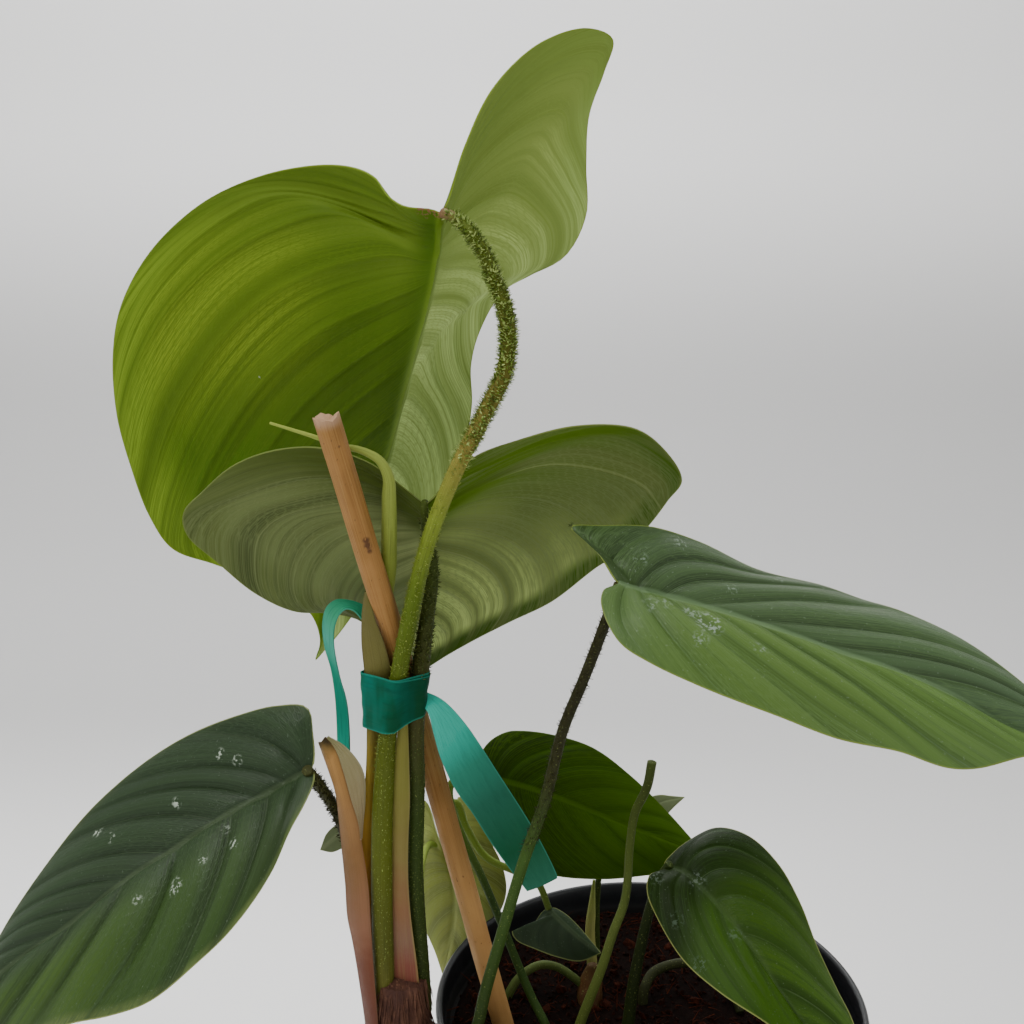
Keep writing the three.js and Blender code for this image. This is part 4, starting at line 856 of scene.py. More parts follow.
def join_copies(nodes, given, sockets):
    """The whole tree: copies on points, with their finish, joined to what they grow on."""
    grown = nodes.add("GeometryNodeInstanceOnPoints", sockets=sockets)
    solid = nodes.add("GeometryNodeRealizeInstances", sockets={"Geometry": grown})
    dressed = nodes.add("GeometryNodeSetMaterial", sockets={
        "Geometry": solid, "Material": given.other("Finish")})
    whole = nodes.add("GeometryNodeJoinGeometry", sockets={"Geometry": dressed})
    nodes.tree.links.new(given.socket, whole.socket.node.inputs["Geometry"])
    nodes.add("NodeGroupOutput", sockets={"Geometry": whole})
    return nodes.tree


def growth_tree():
    """Slim bent cones on the scaly faces, leaning the way that the points call upward."""
    measures = ("Density", "Length", "Width", "Flatness", "Bend", "Belly", "Lean", "Sink", "Tousle")
    nodes, given = open_tree("growth", measures, ("Sides", "Seed"))
    spots = spread(nodes, given)
    cone = nodes.add("GeometryNodeMeshCone", {"fill_type": "TRIANGLE_FAN"}, {
        "Vertices": given.other("Sides"), "Side Segments": 2, "Radius Top": 0.02,
        "Radius Bottom": 0.5, "Depth": 1.0}, "Mesh")
    where = nodes.add("GeometryNodeInputPosition")
    place = nodes.add("ShaderNodeSeparateXYZ", sockets={"Vector": where}, out="Z")
    belly = given.other("Belly") * place * (1 - place) * 4
    curl = nodes.add("ShaderNodeCombineXYZ", sockets={
        "X": place.other("X") * belly + place * place * given.other("Bend"),
        "Y": place.other("Y") * belly})
    curved = nodes.add("GeometryNodeSetPosition", sockets={"Geometry": cone, "Offset": curl})
    upward = carried_by(nodes, "upward", "FLOAT_VECTOR")
    lean = nodes.scale_vector(upward, given.other("Lean"))
    astray = nodes.draw_vector((-1, -1, -1), (1, 1, 1), given.other("Seed") + 9)
    astray = nodes.scale_vector(astray, given.other("Tousle"))
    aim = nodes.add_vectors(nodes.add_vectors(spots.other("Normal"), lean), astray)
    turned = nodes.add("FunctionNodeAlignRotationToVector", {"axis": "Z"}, {"Vector": aim})
    turned = nodes.add("FunctionNodeAlignRotationToVector", {"axis": "X", "pivot_axis": "Z"}, {
        "Rotation": turned, "Vector": upward})
    size = nodes.add("FunctionNodeRandomValue", {"data_type": "FLOAT"}, {
        2: 0.55, 3: 1.35, "Seed": given.other("Seed") + 5}, out=1)
    scale = nodes.add("ShaderNodeCombineXYZ", sockets={
        "X": given.other("Width") * given.other("Flatness") * size,
        "Y": given.other("Width") * size, "Z": given.other("Length") * size})
    down = nodes.scale_vector(aim, given.other("Sink") * -1)
    sunk = nodes.add("GeometryNodeSetPosition", sockets={"Geometry": spots, "Offset": down})
    return join_copies(nodes, given, {
        "Points": sunk, "Instance": curved, "Rotation": turned, "Scale": scale})


GROWTH = growth_tree()


def grow(thing, tree=GROWTH, **inputs):
    """The mesh of a piece with its growth, in place of the bare mesh."""
    modifier = thing.modifiers.new("growth", "NODES")
    modifier.node_group = tree
    for item in tree.interface.items_tree:
        if item.name in inputs and item.in_out == "INPUT":
            modifier[item.identifier] = inputs[item.name]
    evaluated = thing.evaluated_get(bpy.context.evaluated_depsgraph_get())
    mesh = bpy.data.meshes.new_from_object(evaluated)
    thing.modifiers.remove(modifier)
    thing.data = mesh


print("growth takes", len(GROWTH.interface.items_tree) - 1, "inputs")

# %% [markdown]
# ## Stalks, shoots and roots
# A stalk is a tube whose thickness changes along its way. Its rings are turned so that they
# don't twist. Every ring knows how far up it is and which way is up, so that scales can cover
# just a stretch of it and all lean towards the blade.

# %% Places of the stalks
STALKS = {
    "tall_leaf_petiole": {
        "at": [[385, 1010, -37], [383.5, 962, -38], [382, 900, -38], [382.2, 823, -38.5],
            [384.6, 777, -39], [388, 733, -39.5], [398.2, 678, -39.5], [409, 622, -39.5],
            [427, 546, -40], [454, 475, -40], [487, 409, -38], [503, 376, -36], [508, 347, -34],
            [506, 314, -32], [495, 281, -30], [483, 252, -28], [470, 232, -26], [453, 217, -23],
            [443, 213, -20.3]],
        "radii": [3.5, 3.6, 3.6, 3.4, 2.7, 2.6, 2.4, 2.4, 2.4, 2.3, 1.6],
    },
    "broad_leaf_petiole": {
        "at": [[424, 1010, -34], [421, 962, -34], [417, 912, -34], [415, 860, -34], [416, 823, -34],
            [416.4, 777, -35], [415.4, 727, -36.5], [422.5, 653, -35.5], [426.5, 622, -34.2],
            [432, 575, -30.5], [427, 535, -32], [424, 510, -34.5], [425, 502, -31.5]],
        "radii": [2.8, 2.8, 2.8, 2.7, 2.7, 2.8, 2.9, 2.7, 2.2, 1.9, 1.1],
    },
    "right_leaf_petiole": {
        "at": [[466, 1062, -46], [472, 1042, -45], [478, 1024, -44], [485, 993, -44], [503, 930, -45],
            [523, 863, -47], [545, 800, -49], [563, 730, -51], [583, 681, -53], [594, 653, -54],
            [607, 618, -55], [619, 584, -55.5]],
        "radii": [2.1, 2, 1.9, 1.8, 1.7, 1.6],
    },
    "left_leaf_petiole": {
        "at": [[392, 1006, -29], [380, 975, -28], [364, 905, -27.5], [350, 850, -27], [338, 815, -30],
            [325, 793, -35], [313, 777, -40], [307, 770, -43]],
        "radii": [2.1, 2, 1.9, 1.8],
    },
    "back_leaf_petiole": {
        "at": [[556, 1055, -12], [545, 1024, -9], [533, 1000, -4], [523, 977, 0], [500, 920, 8],
            [480, 873, 14], [467, 847, 17], [453, 812, 22], [450, 787, 26], [462, 774, 28.5],
            [489, 776, 30]],
        "radii": [1.7, 1.6, 1.5, 1.5, 1.4],
    },
    "front_leaf_petiole": {
        "at": [[622, 1058, -13], [628, 1024, -10], [633, 987, -7], [640, 950, -4], [650, 908, -2],
            [659, 880, -1], [670, 864, -3]],
        "radii": [2.4, 2.2, 1.9, 1.7],
    },
    "old_leaf_petiole": {
        "at": [[418, 1000, -30], [418, 975, -24], [419, 935, -5], [420, 893, 20], [422, 862, 45],
            [429, 845, 58], [440, 845, 64]],
        "radii": [1.6, 1.5, 1.4],
    },
    "soil_leaf_petiole": {
        "at": [[494, 998, 22], [490, 984, 22], [478, 935, 24], [462, 880, 26], [452, 830, 27],
            [449, 805, 28], [456, 803, 29], [467, 829, 30], [486, 857, 29], [517, 872, 27],
            [537, 882, 24], [549, 909, 20]],
        "radii": [1.7, 1.6, 1.5, 1.3],
    },
    "hidden_leaf_petiole": {
        "at": [[597, 978, 41], [597, 955, 42], [597, 900, 48], [601, 868, 50], [613, 845, 50]],
        "radii": [1.3, 1.2],
    },
    "bud_leaf_stalk": {
        "at": [[396, 1004, -27], [388, 965, -23], [376, 900, -19], [363, 850, -16], [351, 829, -14]],
        "radii": [1.2, 1],
    },
    "rolled_new_leaf": {
        "at": [[375, 664, -32.5], [381, 620, -32], [388, 575, -32], [389, 540, -34.5],
            [389, 500, -39], [388, 476, -41], [379, 460, -41.5], [360, 450, -41], [340, 446, -40.6],
            [315, 437, -40], [296, 431, -39], [270, 423, -38]],
        "radii": [2.7, 2.6, 2.5, 2.5, 2.4, 2.2, 1.4, 0.9, 0.6, 0.4],
    },
    "cut_petiole": {
        "at": [[572, 1050, -12], [580, 1024, -10], [602, 967, -8], [613, 933, -7], [625, 900, -6],
            [630, 843, -6], [635, 813, -5], [647, 787, -5], [652, 762, -5]],
        "radii": [1.9, 1.8, 1.6, 1.5, 1.7],
    },
    "young_spear": {
        "at": [[593, 990, 30], [592, 962, 32], [590, 935, 33], [592, 905, 34], [594, 880, 35]],
        "radii": [2, 2.1, 1.8, 0.5],
    },
    "side_crown": {
        "at": [[589, 1012, 11], [590, 990, 16], [592, 975, 18], [594, 965, 19]],
        "radii": [4.6, 5, 4.4, 2.4],
    },
    "left_root": {
        "at": [[504, 1016, 12], [508, 996, 14], [520, 977, 17], [540, 965, 20], [557, 967, 20],
            [573, 977, 18], [588, 990, 16]],
        "radii": [1.8, 1.7, 1.6, 1.6],
    },
    "right_root": {
        "at": [[642, 1008, 11], [645, 987, 14], [653, 973, 18], [670, 965, 20], [692, 963, 20],
            [715, 972, 17], [733, 990, 12], [740, 1012, 6]],
        "radii": [2, 1.9, 1.8, 1.6],
    },
}
print(len(STALKS), "stalks")

# %% Stalks with their scales
def frames(way, shares):
    """Centres, headings and two directions across, turned as little as can be."""
    centres, headings = way.at(shares), way.heading(shares)
    side = np.cross(headings[0], [0.0, 0.0, 1.0] if abs(headings[0][2]) < 0.9 else [0.0, 1.0, 0.0])
    across = []
    for heading in headings:
        side = unit(side - heading * side.dot(heading))
        across.append(side)
    across = np.array(across)
    return centres, headings, across, np.cross(headings, across)


def tube(way, radii, sides, steps, ripple=None):
    """A tube with rounded ends; ripple gives its radius at each turn and share, as a factor."""
    shares = np.linspace(0, 1, steps + 1)
    centres, headings, across, beside = frames(way, shares)
    turn = np.linspace(0, 2 * np.pi, sides, endpoint=False)
    radius = np.interp(shares, np.linspace(0, 1, len(radii)), radii)[:, None] / 1000 + 0 * turn
    if ripple is not None:
        radius = radius * ripple(turn[None, :], shares[:, None])
    points = (centres[:, None] + across[:, None] * (radius * np.cos(turn))[..., None]
              + beside[:, None] * (radius * np.sin(turn))[..., None])
    along = np.stack([shares[:, None] + 0 * turn, turn / (2 * np.pi) + 0 * radius, radius], axis=-1)
    upward = headings[:, None] + 0 * points
    head = centres[-1] + headings[-1] * radius[-1, 0] * 0.5
    foot = centres[0] - headings[0] * radius[0, 0] * 0.5
    return points, {"along": along, "upward": upward}, foot, head


def stalk_finish(name, tones):
    """A stalk whose colour changes from foot to blade, with fine streaks along it."""
    finish = Finish(name, {"Specular IOR Level": 0.15})
    along = finish.split(finish.carried("along", "Vector"))
    colour = finish.ramp(tones, along)
    where = finish.add("ShaderNodeCombineXYZ", sockets={"X": along * 3, "Y": along.other("Y") * 24})
    lines = finish.noise(2, 4, 0.6, of=where)
    specks = finish.noise(1600, 2, 0.6)
    colour = finish.mix(finish.soft(lines, 0.45, 0.75) * 0.5, colour, hue("2a3210"))
    colour = finish.mix(finish.soft(specks, 0.62, 0.75) * 0.5, colour, hue("9caa5c"))
    return finish.wear(colour, finish.noise(300, 3) * 0.3 + 0.45, specks + lines * 0.5, 0.4, 0.0004)


def scale_finish(name, tones):
    """Scales or bristles in two mixed tones."""
    finish = Finish(name, {"Specular IOR Level": 0.2})
    colour = finish.mix(finish.soft(finish.noise(700, 3), 0.35, 0.65), *map(hue, tones))
    return finish.wear(colour, finish.noise(500) * 0.2 + 0.5)


STALK_SIDES = 20
RING_GAP = 0.0011
FEWEST_RINGS = 24
STALK_TONES = {
    "tall_leaf_petiole": ("tall_stalk", "stalk_green", [
        (0, "5c5822"), (0.1, "4e5218"), (0.2, "545c14"), (0.4, "4a5610"), (0.54, "526616"),
        (0.63, "7a8a2e"), (0.72, "8a7c3c"), (0.82, "565618"), (0.97, "5c6c22"), (1, "7a5a40")]),
    "broad_leaf_petiole": ("broad_stalk", "bristly_green", [
        (0, "262f0a"), (0.4, "2e4010"), (0.62, "3c3a18"), (0.85, "333f0e"), (1, "3c4a12")]),
    "right_leaf_petiole": ("right_stalk", "bristly_green", [
        (0, "1c280a"), (0.18, "263a0c"), (0.45, "35501a"), (0.62, "2e3012"), (0.75, "282610"),
        (0.95, "2a2812"), (1, "3c3c1e")]),
    "left_leaf_petiole": ("left_stalk", "bristly_green", [
        (0, "333413"), (0.5, "332e13"), (1, "3a3c1c")]),
    "back_leaf_petiole": ("back_stalk", "stalk_green", [
        (0, "2d4417"), (0.5, "273d14"), (0.8, "4c641a"), (1, "5f7024")]),
    "front_leaf_petiole": ("front_stalk", "stalk_green", [
        (0, "1c2606"), (0.6, "1c2608"), (1, "2a3812")]),
    "old_leaf_petiole": ("old_stalk", "young_green", [
        (0, "7f8b3c"), (0.6, "8a9a45"), (1, "7a8f3a")]),
    "soil_leaf_petiole": ("soil_stalk", "stalk_green", [
        (0, "3a4d16"), (0.45, "627925"), (0.7, "728830"), (1, "4a5b20")]),
    "hidden_leaf_petiole": ("hidden_stalk", "stalk_green", [(0, "3a4818"), (1, "2e3c11")]),
    "bud_leaf_stalk": ("bud_stalk", "stalk_green", [(0, "384c1a"), (1, "405427")]),
    "rolled_new_leaf": ("rolled_leaf", "young_green", [
        (0, "889636"), (0.45, "87953e"), (0.75, "909e48"), (1, "9cac48")]),
    "cut_petiole": ("cut_stalk", "stalk_green", [
        (0, "56622a"), (0.4, "5c6a30"), (0.7, "46541f"), (0.93, "354012"), (1, "3f4a1c")]),
    "young_spear": ("young_spear_shoot", "young_green", [
        (0, "939352"), (0.6, "abab65"), (1, "819343")]),
    "side_crown": ("side_crown_knot", "pink_husk", [
        (0, "37220e"), (0.6, "56381e"), (1, "493317")]),
    "left_root": ("left_root_arch", "young_green", [
        (0, "3e4b1e"), (0.5, "52602f"), (1, "414f20")]),
    # The right root's dark tones are painted shade
    "right_root": ("right_root_arch", "young_green", [
        (0, "262a12"), (0.5, "30341a"), (1, "262a12")]),
}
# What grows on a stalk: from and to, number per square millimetre, length, width and
# flatness, bend, belly, lean, sides, colours
COATS = {
    "tall_leaf_petiole": [
        (0.02, 0.6, 0.5, 0.75, 0.3, 0.6, 0.3, 0.5, 2.2, 4, ("6c7c2a", "9cac54")),
        (0.3, 0.76, 0.9, 1.0, 0.42, 0.4, 0.6, 0.6, 0.4, 5, ("626e24", "98a44c")),
        (0.68, 0.995, 2.0, 1.6, 0.6, 0.3, 0.8, 1.0, 0.1, 5, ("6c8630", "b8c87a")),
        (0.7, 0.995, 2.2, 1.4, 0.55, 0.3, 0.5, 0.8, 0.1, 5, ("42541a", "768a30"))],
    "broad_leaf_petiole": [
        (0.05, 0.6, 1.6, 0.6, 0.4, 0.6, 0.3, 0.4, 1.0, 4, ("2d3f0e", "465a1a")),
        (0.66, 0.98, 1.3, 1.3, 0.55, 0.5, 0.5, 0.8, 0.4, 5, ("38461a", "565e2c"))],
    "right_leaf_petiole": [
        (0.45, 0.98, 1.6, 1.2, 0.32, 0.7, 0.5, 0.2, 0.2, 4, ("20200c", "38341a"))],
    "left_leaf_petiole": [
        (0.1, 0.98, 1.6, 1.3, 0.42, 0.6, 0.5, 0.4, 0.3, 4, ("24260e", "3e3c1e"))],
}
BALD = 0.35


def cover_of(stalk, start, end, layer):
    """How densely each point of a stalk is covered between two shares of its length, in tufts."""
    places = np.zeros(len(stalk.data.vertices) * 3, np.float32)
    stalk.data.attributes["along"].data.foreach_get("vector", places)
    shares, turns = places[::3], places[1::3] * 2 * np.pi
    tufts = np.sin(83 * shares + 4 * turns) + np.sin(151 * shares - 3 * turns + layer)
    cover = rise(shares, start, start + 0.04) * (1 - rise(shares, end - 0.02, end))
    return cover * (BALD + (1 - BALD) * rise(tufts, -0.8, 0.6))


for seed, (node, (name, slot, stops)) in enumerate(STALK_TONES.items()):
    shape = STALKS[node]
    way = Way(sight(shape["at"]))
    steps = max(FEWEST_RINGS, int(way.length / RING_GAP))
    points, carried, foot, head = tube(way, shape["radii"], STALK_SIDES, steps)
    form = rings(points, {**carried, "scaly": carried["along"][..., :1]}, foot, head)
    plain_name = name.replace("_", " ")
    stalk = piece(name, form, stalk_finish(plain_name, stops), slot, node)
    bare = len(stalk.data.vertices)
    for layer, coat in enumerate(COATS.get(node, [])):
        start, end, density, length, width, flat, bend, belly, lean, sides, tones = coat
        cover = cover_of(stalk, start, end, layer)
        cover[bare:] = 0
        stalk.data.attributes["scaly"].data.foreach_set("value", cover)
        finish = scale_finish(f"{plain_name} scales {layer + 1}", tones)
        grow(stalk, Density=density * 1e6, Length=length / 1000, Width=width / 1000,
             Flatness=flat, Bend=bend, Belly=belly, Lean=lean, Tousle=0.6, Sink=0.0002,
             Sides=sides, Seed=seed * 10 + layer, Finish=finish)
    print(name, len(stalk.data.polygons), "faces")

# %% [markdown]
# ## Sheaths
# Each leaf of this plant grows out of a sheath that dries to a paper-thin husk. A husk here is a
# sheet between two edges whose middle bulges forward. The split sheath has two parts: the stiff
# husk, and the pale skin that stretched over the new leaf before it burst.

# %% Places of the sheaths
HUSKS = {
    "split_sheath": {
        "bulge": 1.8,
        "left": [[368, 1046, -38], [366, 1024, -38], [359, 975, -38], [353, 940, -38],
            [348, 916, -38], [346, 885, -38], [343, 854, -38], [340, 823, -38], [336, 792, -38],
            [328, 767, -38], [319, 742, -38]],
        "right": [[379, 1046, -42], [377, 1010, -43], [374, 975, -42.4], [371, 931, -42],
            [368, 885, -41.5], [362, 846, -40.5], [357, 820, -40], [350, 798, -39.5], [342, 770, -39],
            [334, 748, -38.5], [325, 737, -38.2]],
    },
    "brown_sheath": {
        "bulge": 0.8,
        "left": [[370, 1004, -36], [366, 940, -36], [362, 857, -36], [362, 817, -36],
            [366, 770, -36.5], [367, 729, -37], [366.5, 700, -37], [364.5, 670, -37], [362, 640, -36],
            [363, 610, -35], [366, 591, -34]],
        "right": [[388, 1004, -33], [379, 940, -33.4], [376, 857, -33.6], [375, 817, -33.8],
            [377, 770, -34], [379, 729, -35], [382, 700, -36.4], [390, 670, -37.6], [385, 645, -38],
            [375, 618, -37.4], [369, 592, -35]],
    },
    "pink_sheath": {
        "bulge": 1,
        "left": [[392, 1004, -37], [391, 976, -37], [391.5, 900, -37.5], [392, 838, -38],
            [393.6, 777, -39], [398, 735, -40], [401, 715, -40]],
        "right": [[421, 1004, -38.6], [417, 965, -38.6], [411, 920, -38.5], [408.5, 893, -38.4],
            [407.6, 866, -38.4], [408, 835, -38.5], [409.4, 800, -38.8], [408.6, 765, -39.2],
            [407.6, 735, -40], [407, 715, -40]],
    },
}
SKIN_EDGES = ([[360, 840, -40.6], [357, 820, -40], [350, 798, -39.5], [342, 770, -39], [334, 748, -38.5],
               [326, 738, -38]],
              [[362, 838, -40.3], [363, 822, -39], [365, 800, -38.6], [363, 770, -38], [346, 747, -38],
               [328, 736, -38]])
HUSK = 0.0007
SKIN = 0.0004
STRIP_COLUMNS = 14
STRIP_STEP = 0.0009
FEWEST_STEPS = 12


def strip(edges, bulge, thick, waves=0.0):
    """A sheet between two edges, its middle bulging forward by some millimetres."""
    ways = [Way(sight(edge)) for edge in edges]
    share = np.linspace(0, 1, max(FEWEST_STEPS, int(ways[0].length / STRIP_STEP)) + 1)
    across = np.linspace(0, 1, STRIP_COLUMNS + 1)[None, :, None]
    left, right = [way.at(share)[:, None] for way in ways]
    grid = left * (1 - across) + right * across
    lift = bulge * 4 * across * (1 - across) + waves * np.sin(np.pi * 9 * across + 5 * share[:, None, None])
    grid = grid + np.array([0, -1, 0]) * lift / 1000
    along = np.concatenate([share[:, None, None] + 0 * across, across + 0 * share[:, None, None],
                            0 * grid[..., :1]], axis=2)
    return sheet(grid, thick / 2, thick / 2, {"along": along})


def husk_finish(name, tones, edge_code, rough=0.65, lines=30, streak=0.5):
    """Dry sheath: colours from foot to tip, and fine fibres along it."""
    finish = Finish(name, {"Specular IOR Level": 0.3})
    along = finish.split(finish.carried("along", "Vector"))
    across = along.other("Y")
    patch = finish.noise(160, 3)
    colour = finish.ramp(tones, along + (patch - 0.5) * 0.12)
    where = finish.add("ShaderNodeCombineXYZ", sockets={"X": along * 2, "Y": across * lines})
    fibres = finish.noise(1.5, 4, 0.65, of=where)
    colour = finish.mix(finish.soft(fibres, 0.45, 0.75) * streak, colour, hue(edge_code))
    border = finish.soft((across - 0.5).math("ABSOLUTE", across - 0.5), 0.38, 0.5)
    colour = finish.mix(border * 0.5, colour, hue(edge_code))
    return finish.wear(colour, finish.noise(300) * 0.2 + (rough - 0.1), fibres, 0.5, 0.0005)


def husk_piece(name, node, finish, slot):
    """The husk between the two edges of a sheath."""
    shape = HUSKS[node]
    form = strip((shape["left"], shape["right"]), shape["bulge"], HUSK)
    return piece(name, form, finish, slot, node)


SPLIT = husk_finish("split sheath", [
    (0, "583022"), (0.15, "643626"), (0.3, "6e3b24"), (0.41, "8a5e44"), (0.62, "866036"),
    (0.76, "9c7344"), (0.92, "b1854a"), (0.97, "7a6030"), (1, "3a3018")], "6c4a2c")
PALE_SKIN = husk_finish("pale skin", [(0, "8a7656"), (0.3, "8c7c58"), (1, "8c875c")],
                        "aaa688", rough=0.5, lines=60, streak=0.6)
BROWN = husk_finish("brown sheath", [
    (0, "5c3420"), (0.2, "9c6828"), (0.32, "c08c34"), (0.45, "ac862a"), (0.6, "9a842a"),
    (0.72, "68642c"), (1, "5e5a28")], "4a3a14")
PINK = husk_finish("pink sheath", [
    (0, "6a3428"), (0.14, "743c30"), (0.24, "785644"), (0.36, "80583a"), (0.52, "7c6c38"),
    (0.75, "74722c"), (1, "706e28")], "8a8048")
husk = husk_piece("split_husk", "split_sheath", SPLIT, "orange_husk")
skin = piece("split_skin", strip(SKIN_EDGES, 0.3, SKIN, waves=0.12), PALE_SKIN, "orange_husk",
             "split_sheath")
husk_piece("brown_husk", "brown_sheath", BROWN, "orange_husk")
husk_piece("pink_husk_strip", "pink_sheath", PINK, "pink_husk")
print("sheaths:", len(husk.data.polygons) + len(skin.data.polygons), "faces on the split one")

# %% [markdown]
# ## Stake
# The stake is a thin split of wood. It has the grain of its length, small knots and a rough top
# where it broke. The break is made in the mesh: the last rings end at different heights.

# %% Wooden stake
STAKE_WAY = [[514, 1062, -4], [401.3, 664, -30.5], [326, 416, -48]]
STAKE_RADIUS = 3.9
STAKE_SIDES = 36
STAKE_RINGS = 260
NOTCH = 4.2
# Rings inside the broken top: size as a share of the lip, and depth in metres
BREAK_RINGS = ((0.8, 0.0001), (0.6, 0.0007), (0.25, 0.001))
# Knots and dark marks: place as seen, and size in metres
KNOTS = (((366, 540, -43), 0.0015), ((368, 546, -43), 0.0017), ((370, 552, -43), 0.0013),
         ((340, 447, -50), 0.0008), ((476, 940, -16), 0.0012))


def worn(turn, share):
    """The stake's radius round and along it, as a factor."""
    return 1 + 0.03 * np.sin(3 * turn + 9 * share) + 0.02 * np.sin(7 * turn - 30 * share)


def stake_form():
    way = Way(sight(STAKE_WAY))
    radii = [STAKE_RADIUS, STAKE_RADIUS]
    points, carried, foot, _ = tube(way, radii, STAKE_SIDES, STAKE_RINGS, worn)
    up = way.heading(1.0)
    turn = carried["along"][-1, :, 1] * 2 * np.pi
    jag = 0.0004 * np.sin(2 * turn + 0.6) + 0.00035 * np.sin(5 * turn) + 0.0002 * np.sin(11 * turn + 1)
    notch = 0.0022 * np.exp(-((turn - NOTCH) / 0.4) ** 2)
    reach = rise(carried["along"][:, :1, 0], 0.985, 1.0)
    points = points + up * ((jag - notch)[None, :] * reach)[..., None]
    lip = points[-1]
    middle = lip.mean(axis=0)
    inner = [middle + (lip - middle) * size - up * depth for size, depth in BREAK_RINGS]
    points = np.concatenate([points, np.array(inner)])
    for key, numbers in carried.items():
        carried[key] = np.concatenate([numbers, np.repeat(numbers[-1:], len(BREAK_RINGS), axis=0)])
    return rings(points, carried, foot, middle - up * 0.0011)


def wood_finish():
    finish = Finish("stake wood", {"Specular IOR Level": 0.3})
    along = finish.split(finish.carried("along", "Vector"))
    turn = along.other("Y")
    where = finish.add("ShaderNodeCombineXYZ", sockets={"X": along * 2.2, "Y": turn * 26})
    grain = finish.noise(2.2, 5, 0.65, of=where)
    broad = finish.noise(60, 3, 0.6)
    colour = finish.mix(finish.soft(grain, 0.3, 0.7), hue("a17940"), hue("845824"))
    colour = finish.mix((1 - finish.soft(along, 0.2, 0.5)) * 0.7, colour, hue("cc9e62"))
    colour = finish.mix(finish.soft(broad, 0.35, 0.75) * 0.6, colour, hue("ad7e45"))
    specks = finish.noise(900, 2, 0.7, stretch=(1, 1, 0.35))
    colour = finish.mix(finish.soft(specks, 0.66, 0.74) * 0.7, colour, hue("5a3a20"))
    top = finish.soft(along, 0.985, 1.0)
    colour = finish.mix(top * 0.5, colour, hue("c8a890"))
    scar = finish.soft(specks, 0.34, 0.44)
    for place, size in KNOTS:
        knot = finish.near(sight([place])[0], size * 0.4, size) * scar
        colour = finish.mix(knot * 0.85, colour, hue("4a2a16"))
    return finish.wear(colour, finish.noise(200) * 0.2 + 0.55, grain, 0.5, 0.0006)


stake = piece("stake", stake_form(), wood_finish(), "stake_wood", "wooden_stake", crease=40)
print("stake:", len(stake.data.polygons), "faces")

# %% [markdown]
# ## Tape
# Stretch tape goes twice round the bundle, pulled tight, so each round follows the smallest
# outline that holds all the stalks. One free end makes a loop on the left and the other hangs
# down on the right.

# %% Tape round the bundle and its free ends
WRAP_LEVELS = (723, 673)
WRAP_SLACK = 0.45
WRAP_ROUNDS = 2.1
WRAP_START = math.radians(70)
WRAP_STEPS = 260
WRAP_COLUMNS = 15
WRAP_FACETS = 180
TALL_GRIP, BROAD_GRIP, HUSK_GRIP = 2.9, 2.3, 0.4
TAPE = 0.0004
RIBBONS = {
    "tape_loop": {
        "left": [[408, 704, -27], [410, 694, -22], [403, 660, -17], [385, 622, -14], [363, 605, -12],
            [347, 600, -12], [336, 600, -12], [327, 607, -12], [323, 622, -12], [325, 647, -12],
            [331, 668, -12], [335, 693, -12], [337, 721, -12], [338, 765, -12]],
        "right": [[396, 706, -31], [396, 696, -27], [389, 664, -25], [376, 636, -24], [363, 621, -24],
            [354, 611, -24], [346, 609, -24], [339, 615, -24], [334, 630, -24], [334, 647, -24],
            [340, 678, -24], [346, 699, -24], [349, 724, -24], [350, 768, -24]],
    },
    "tape_tail": {
        "left": [[416, 700, -36], [427, 711, -38], [434, 735, -37.5], [440.5, 758, -36],
            [455, 789, -35], [473, 814, -34], [486, 835, -33], [501, 857, -32], [527, 891, -30]],
        "right": [[420, 690, -33], [441, 699, -34], [464, 722, -32], [498, 773, -30], [530, 823, -29],
            [544, 848, -28], [557, 876, -27], [557, 878, -27]],
    },
}


def tape_finish(name, tones, rim, crease=0.5, seen_through=0.0, shine=0.06):
    """Thin stretched film: its tone changes along it, partly as painted light and shade, and painted shade
    darkens its creases.
    """
    finish = Finish(name, {"Specular IOR Level": shine})
    along = finish.split(finish.carried("along", "Vector"))
    colour = finish.ramp(tones, along)
    where = finish.add("ShaderNodeCombineXYZ", sockets={"X": along * 5, "Y": along.other("Y") * 4})
    creases = finish.noise(2, 3, 0.5, of=where)
    # Painted shade: the tape is darker in its creases
    colour = finish.mix(finish.soft(creases, 0.5, 0.75) * crease, colour, hue("00382c"))
    bundle = finish.noise(150, 2, stretch=(1, 1, 0.25))
    colour = finish.mix(finish.soft(bundle, 0.45, 0.65) * seen_through, colour, hue("0c3c18"))
    edge = along.other("Y")
    border = finish.soft((edge - 0.5).math("ABSOLUTE", edge - 0.5), 0.46, 0.5)
    colour = finish.mix(border * 0.5, colour, hue(rim))
    return finish.wear(colour, creases * 0.3 + 0.3, creases, 0.5, 0.001)


# Painted light and shade in the tape's tones: the hanging end has a painted highlight on its bright belly
# near the wrap and painted shade in its fold near its end, and the loop is painted lighter, for the light
# that comes through it; the wound rounds are darker where the bundle shows through
ROUND_TEAL = tape_finish("teal tape, wound", [
    (0, "005a48"), (0.4, "004a38"), (0.56, "004030"), (0.64, "004c3a"), (0.72, "005c4a"),
    (0.79, "006656"), (0.84, "146a52"), (1, "086450")], "2a9480", seen_through=0.6)
LOOSE_TEAL = tape_finish("teal tape, hanging", [
    (0, "3cc0aa"), (0.22, "3ab6a1"), (0.38, "2c7f6a"), (0.55, "23614d"), (0.8, "145034"),
    (1, "2a6650")], "3f9a86", crease=0.15)
LOOP_TEAL = tape_finish("teal tape, looped", [
    (0, "1c6a58"), (0.36, "349674"), (0.46, "3c9672"), (0.56, "4ca08c"), (0.66, "2a8870"),
    (0.8, "18806a"), (1, "2c9c86")], "4c9a8a", crease=0.3, shine=0.0)


def level_of(down):
    """The height in metres of what is seen this far down the view, in the bundle."""
    return sight([(396, down, -36)])[0][2]


def at_height(way, height):
    """Where a way passes a height in metres."""
    order = np.argsort(way.points[:, 2])
    return way.at(np.interp(height, way.points[order, 2], way.shares[order]))


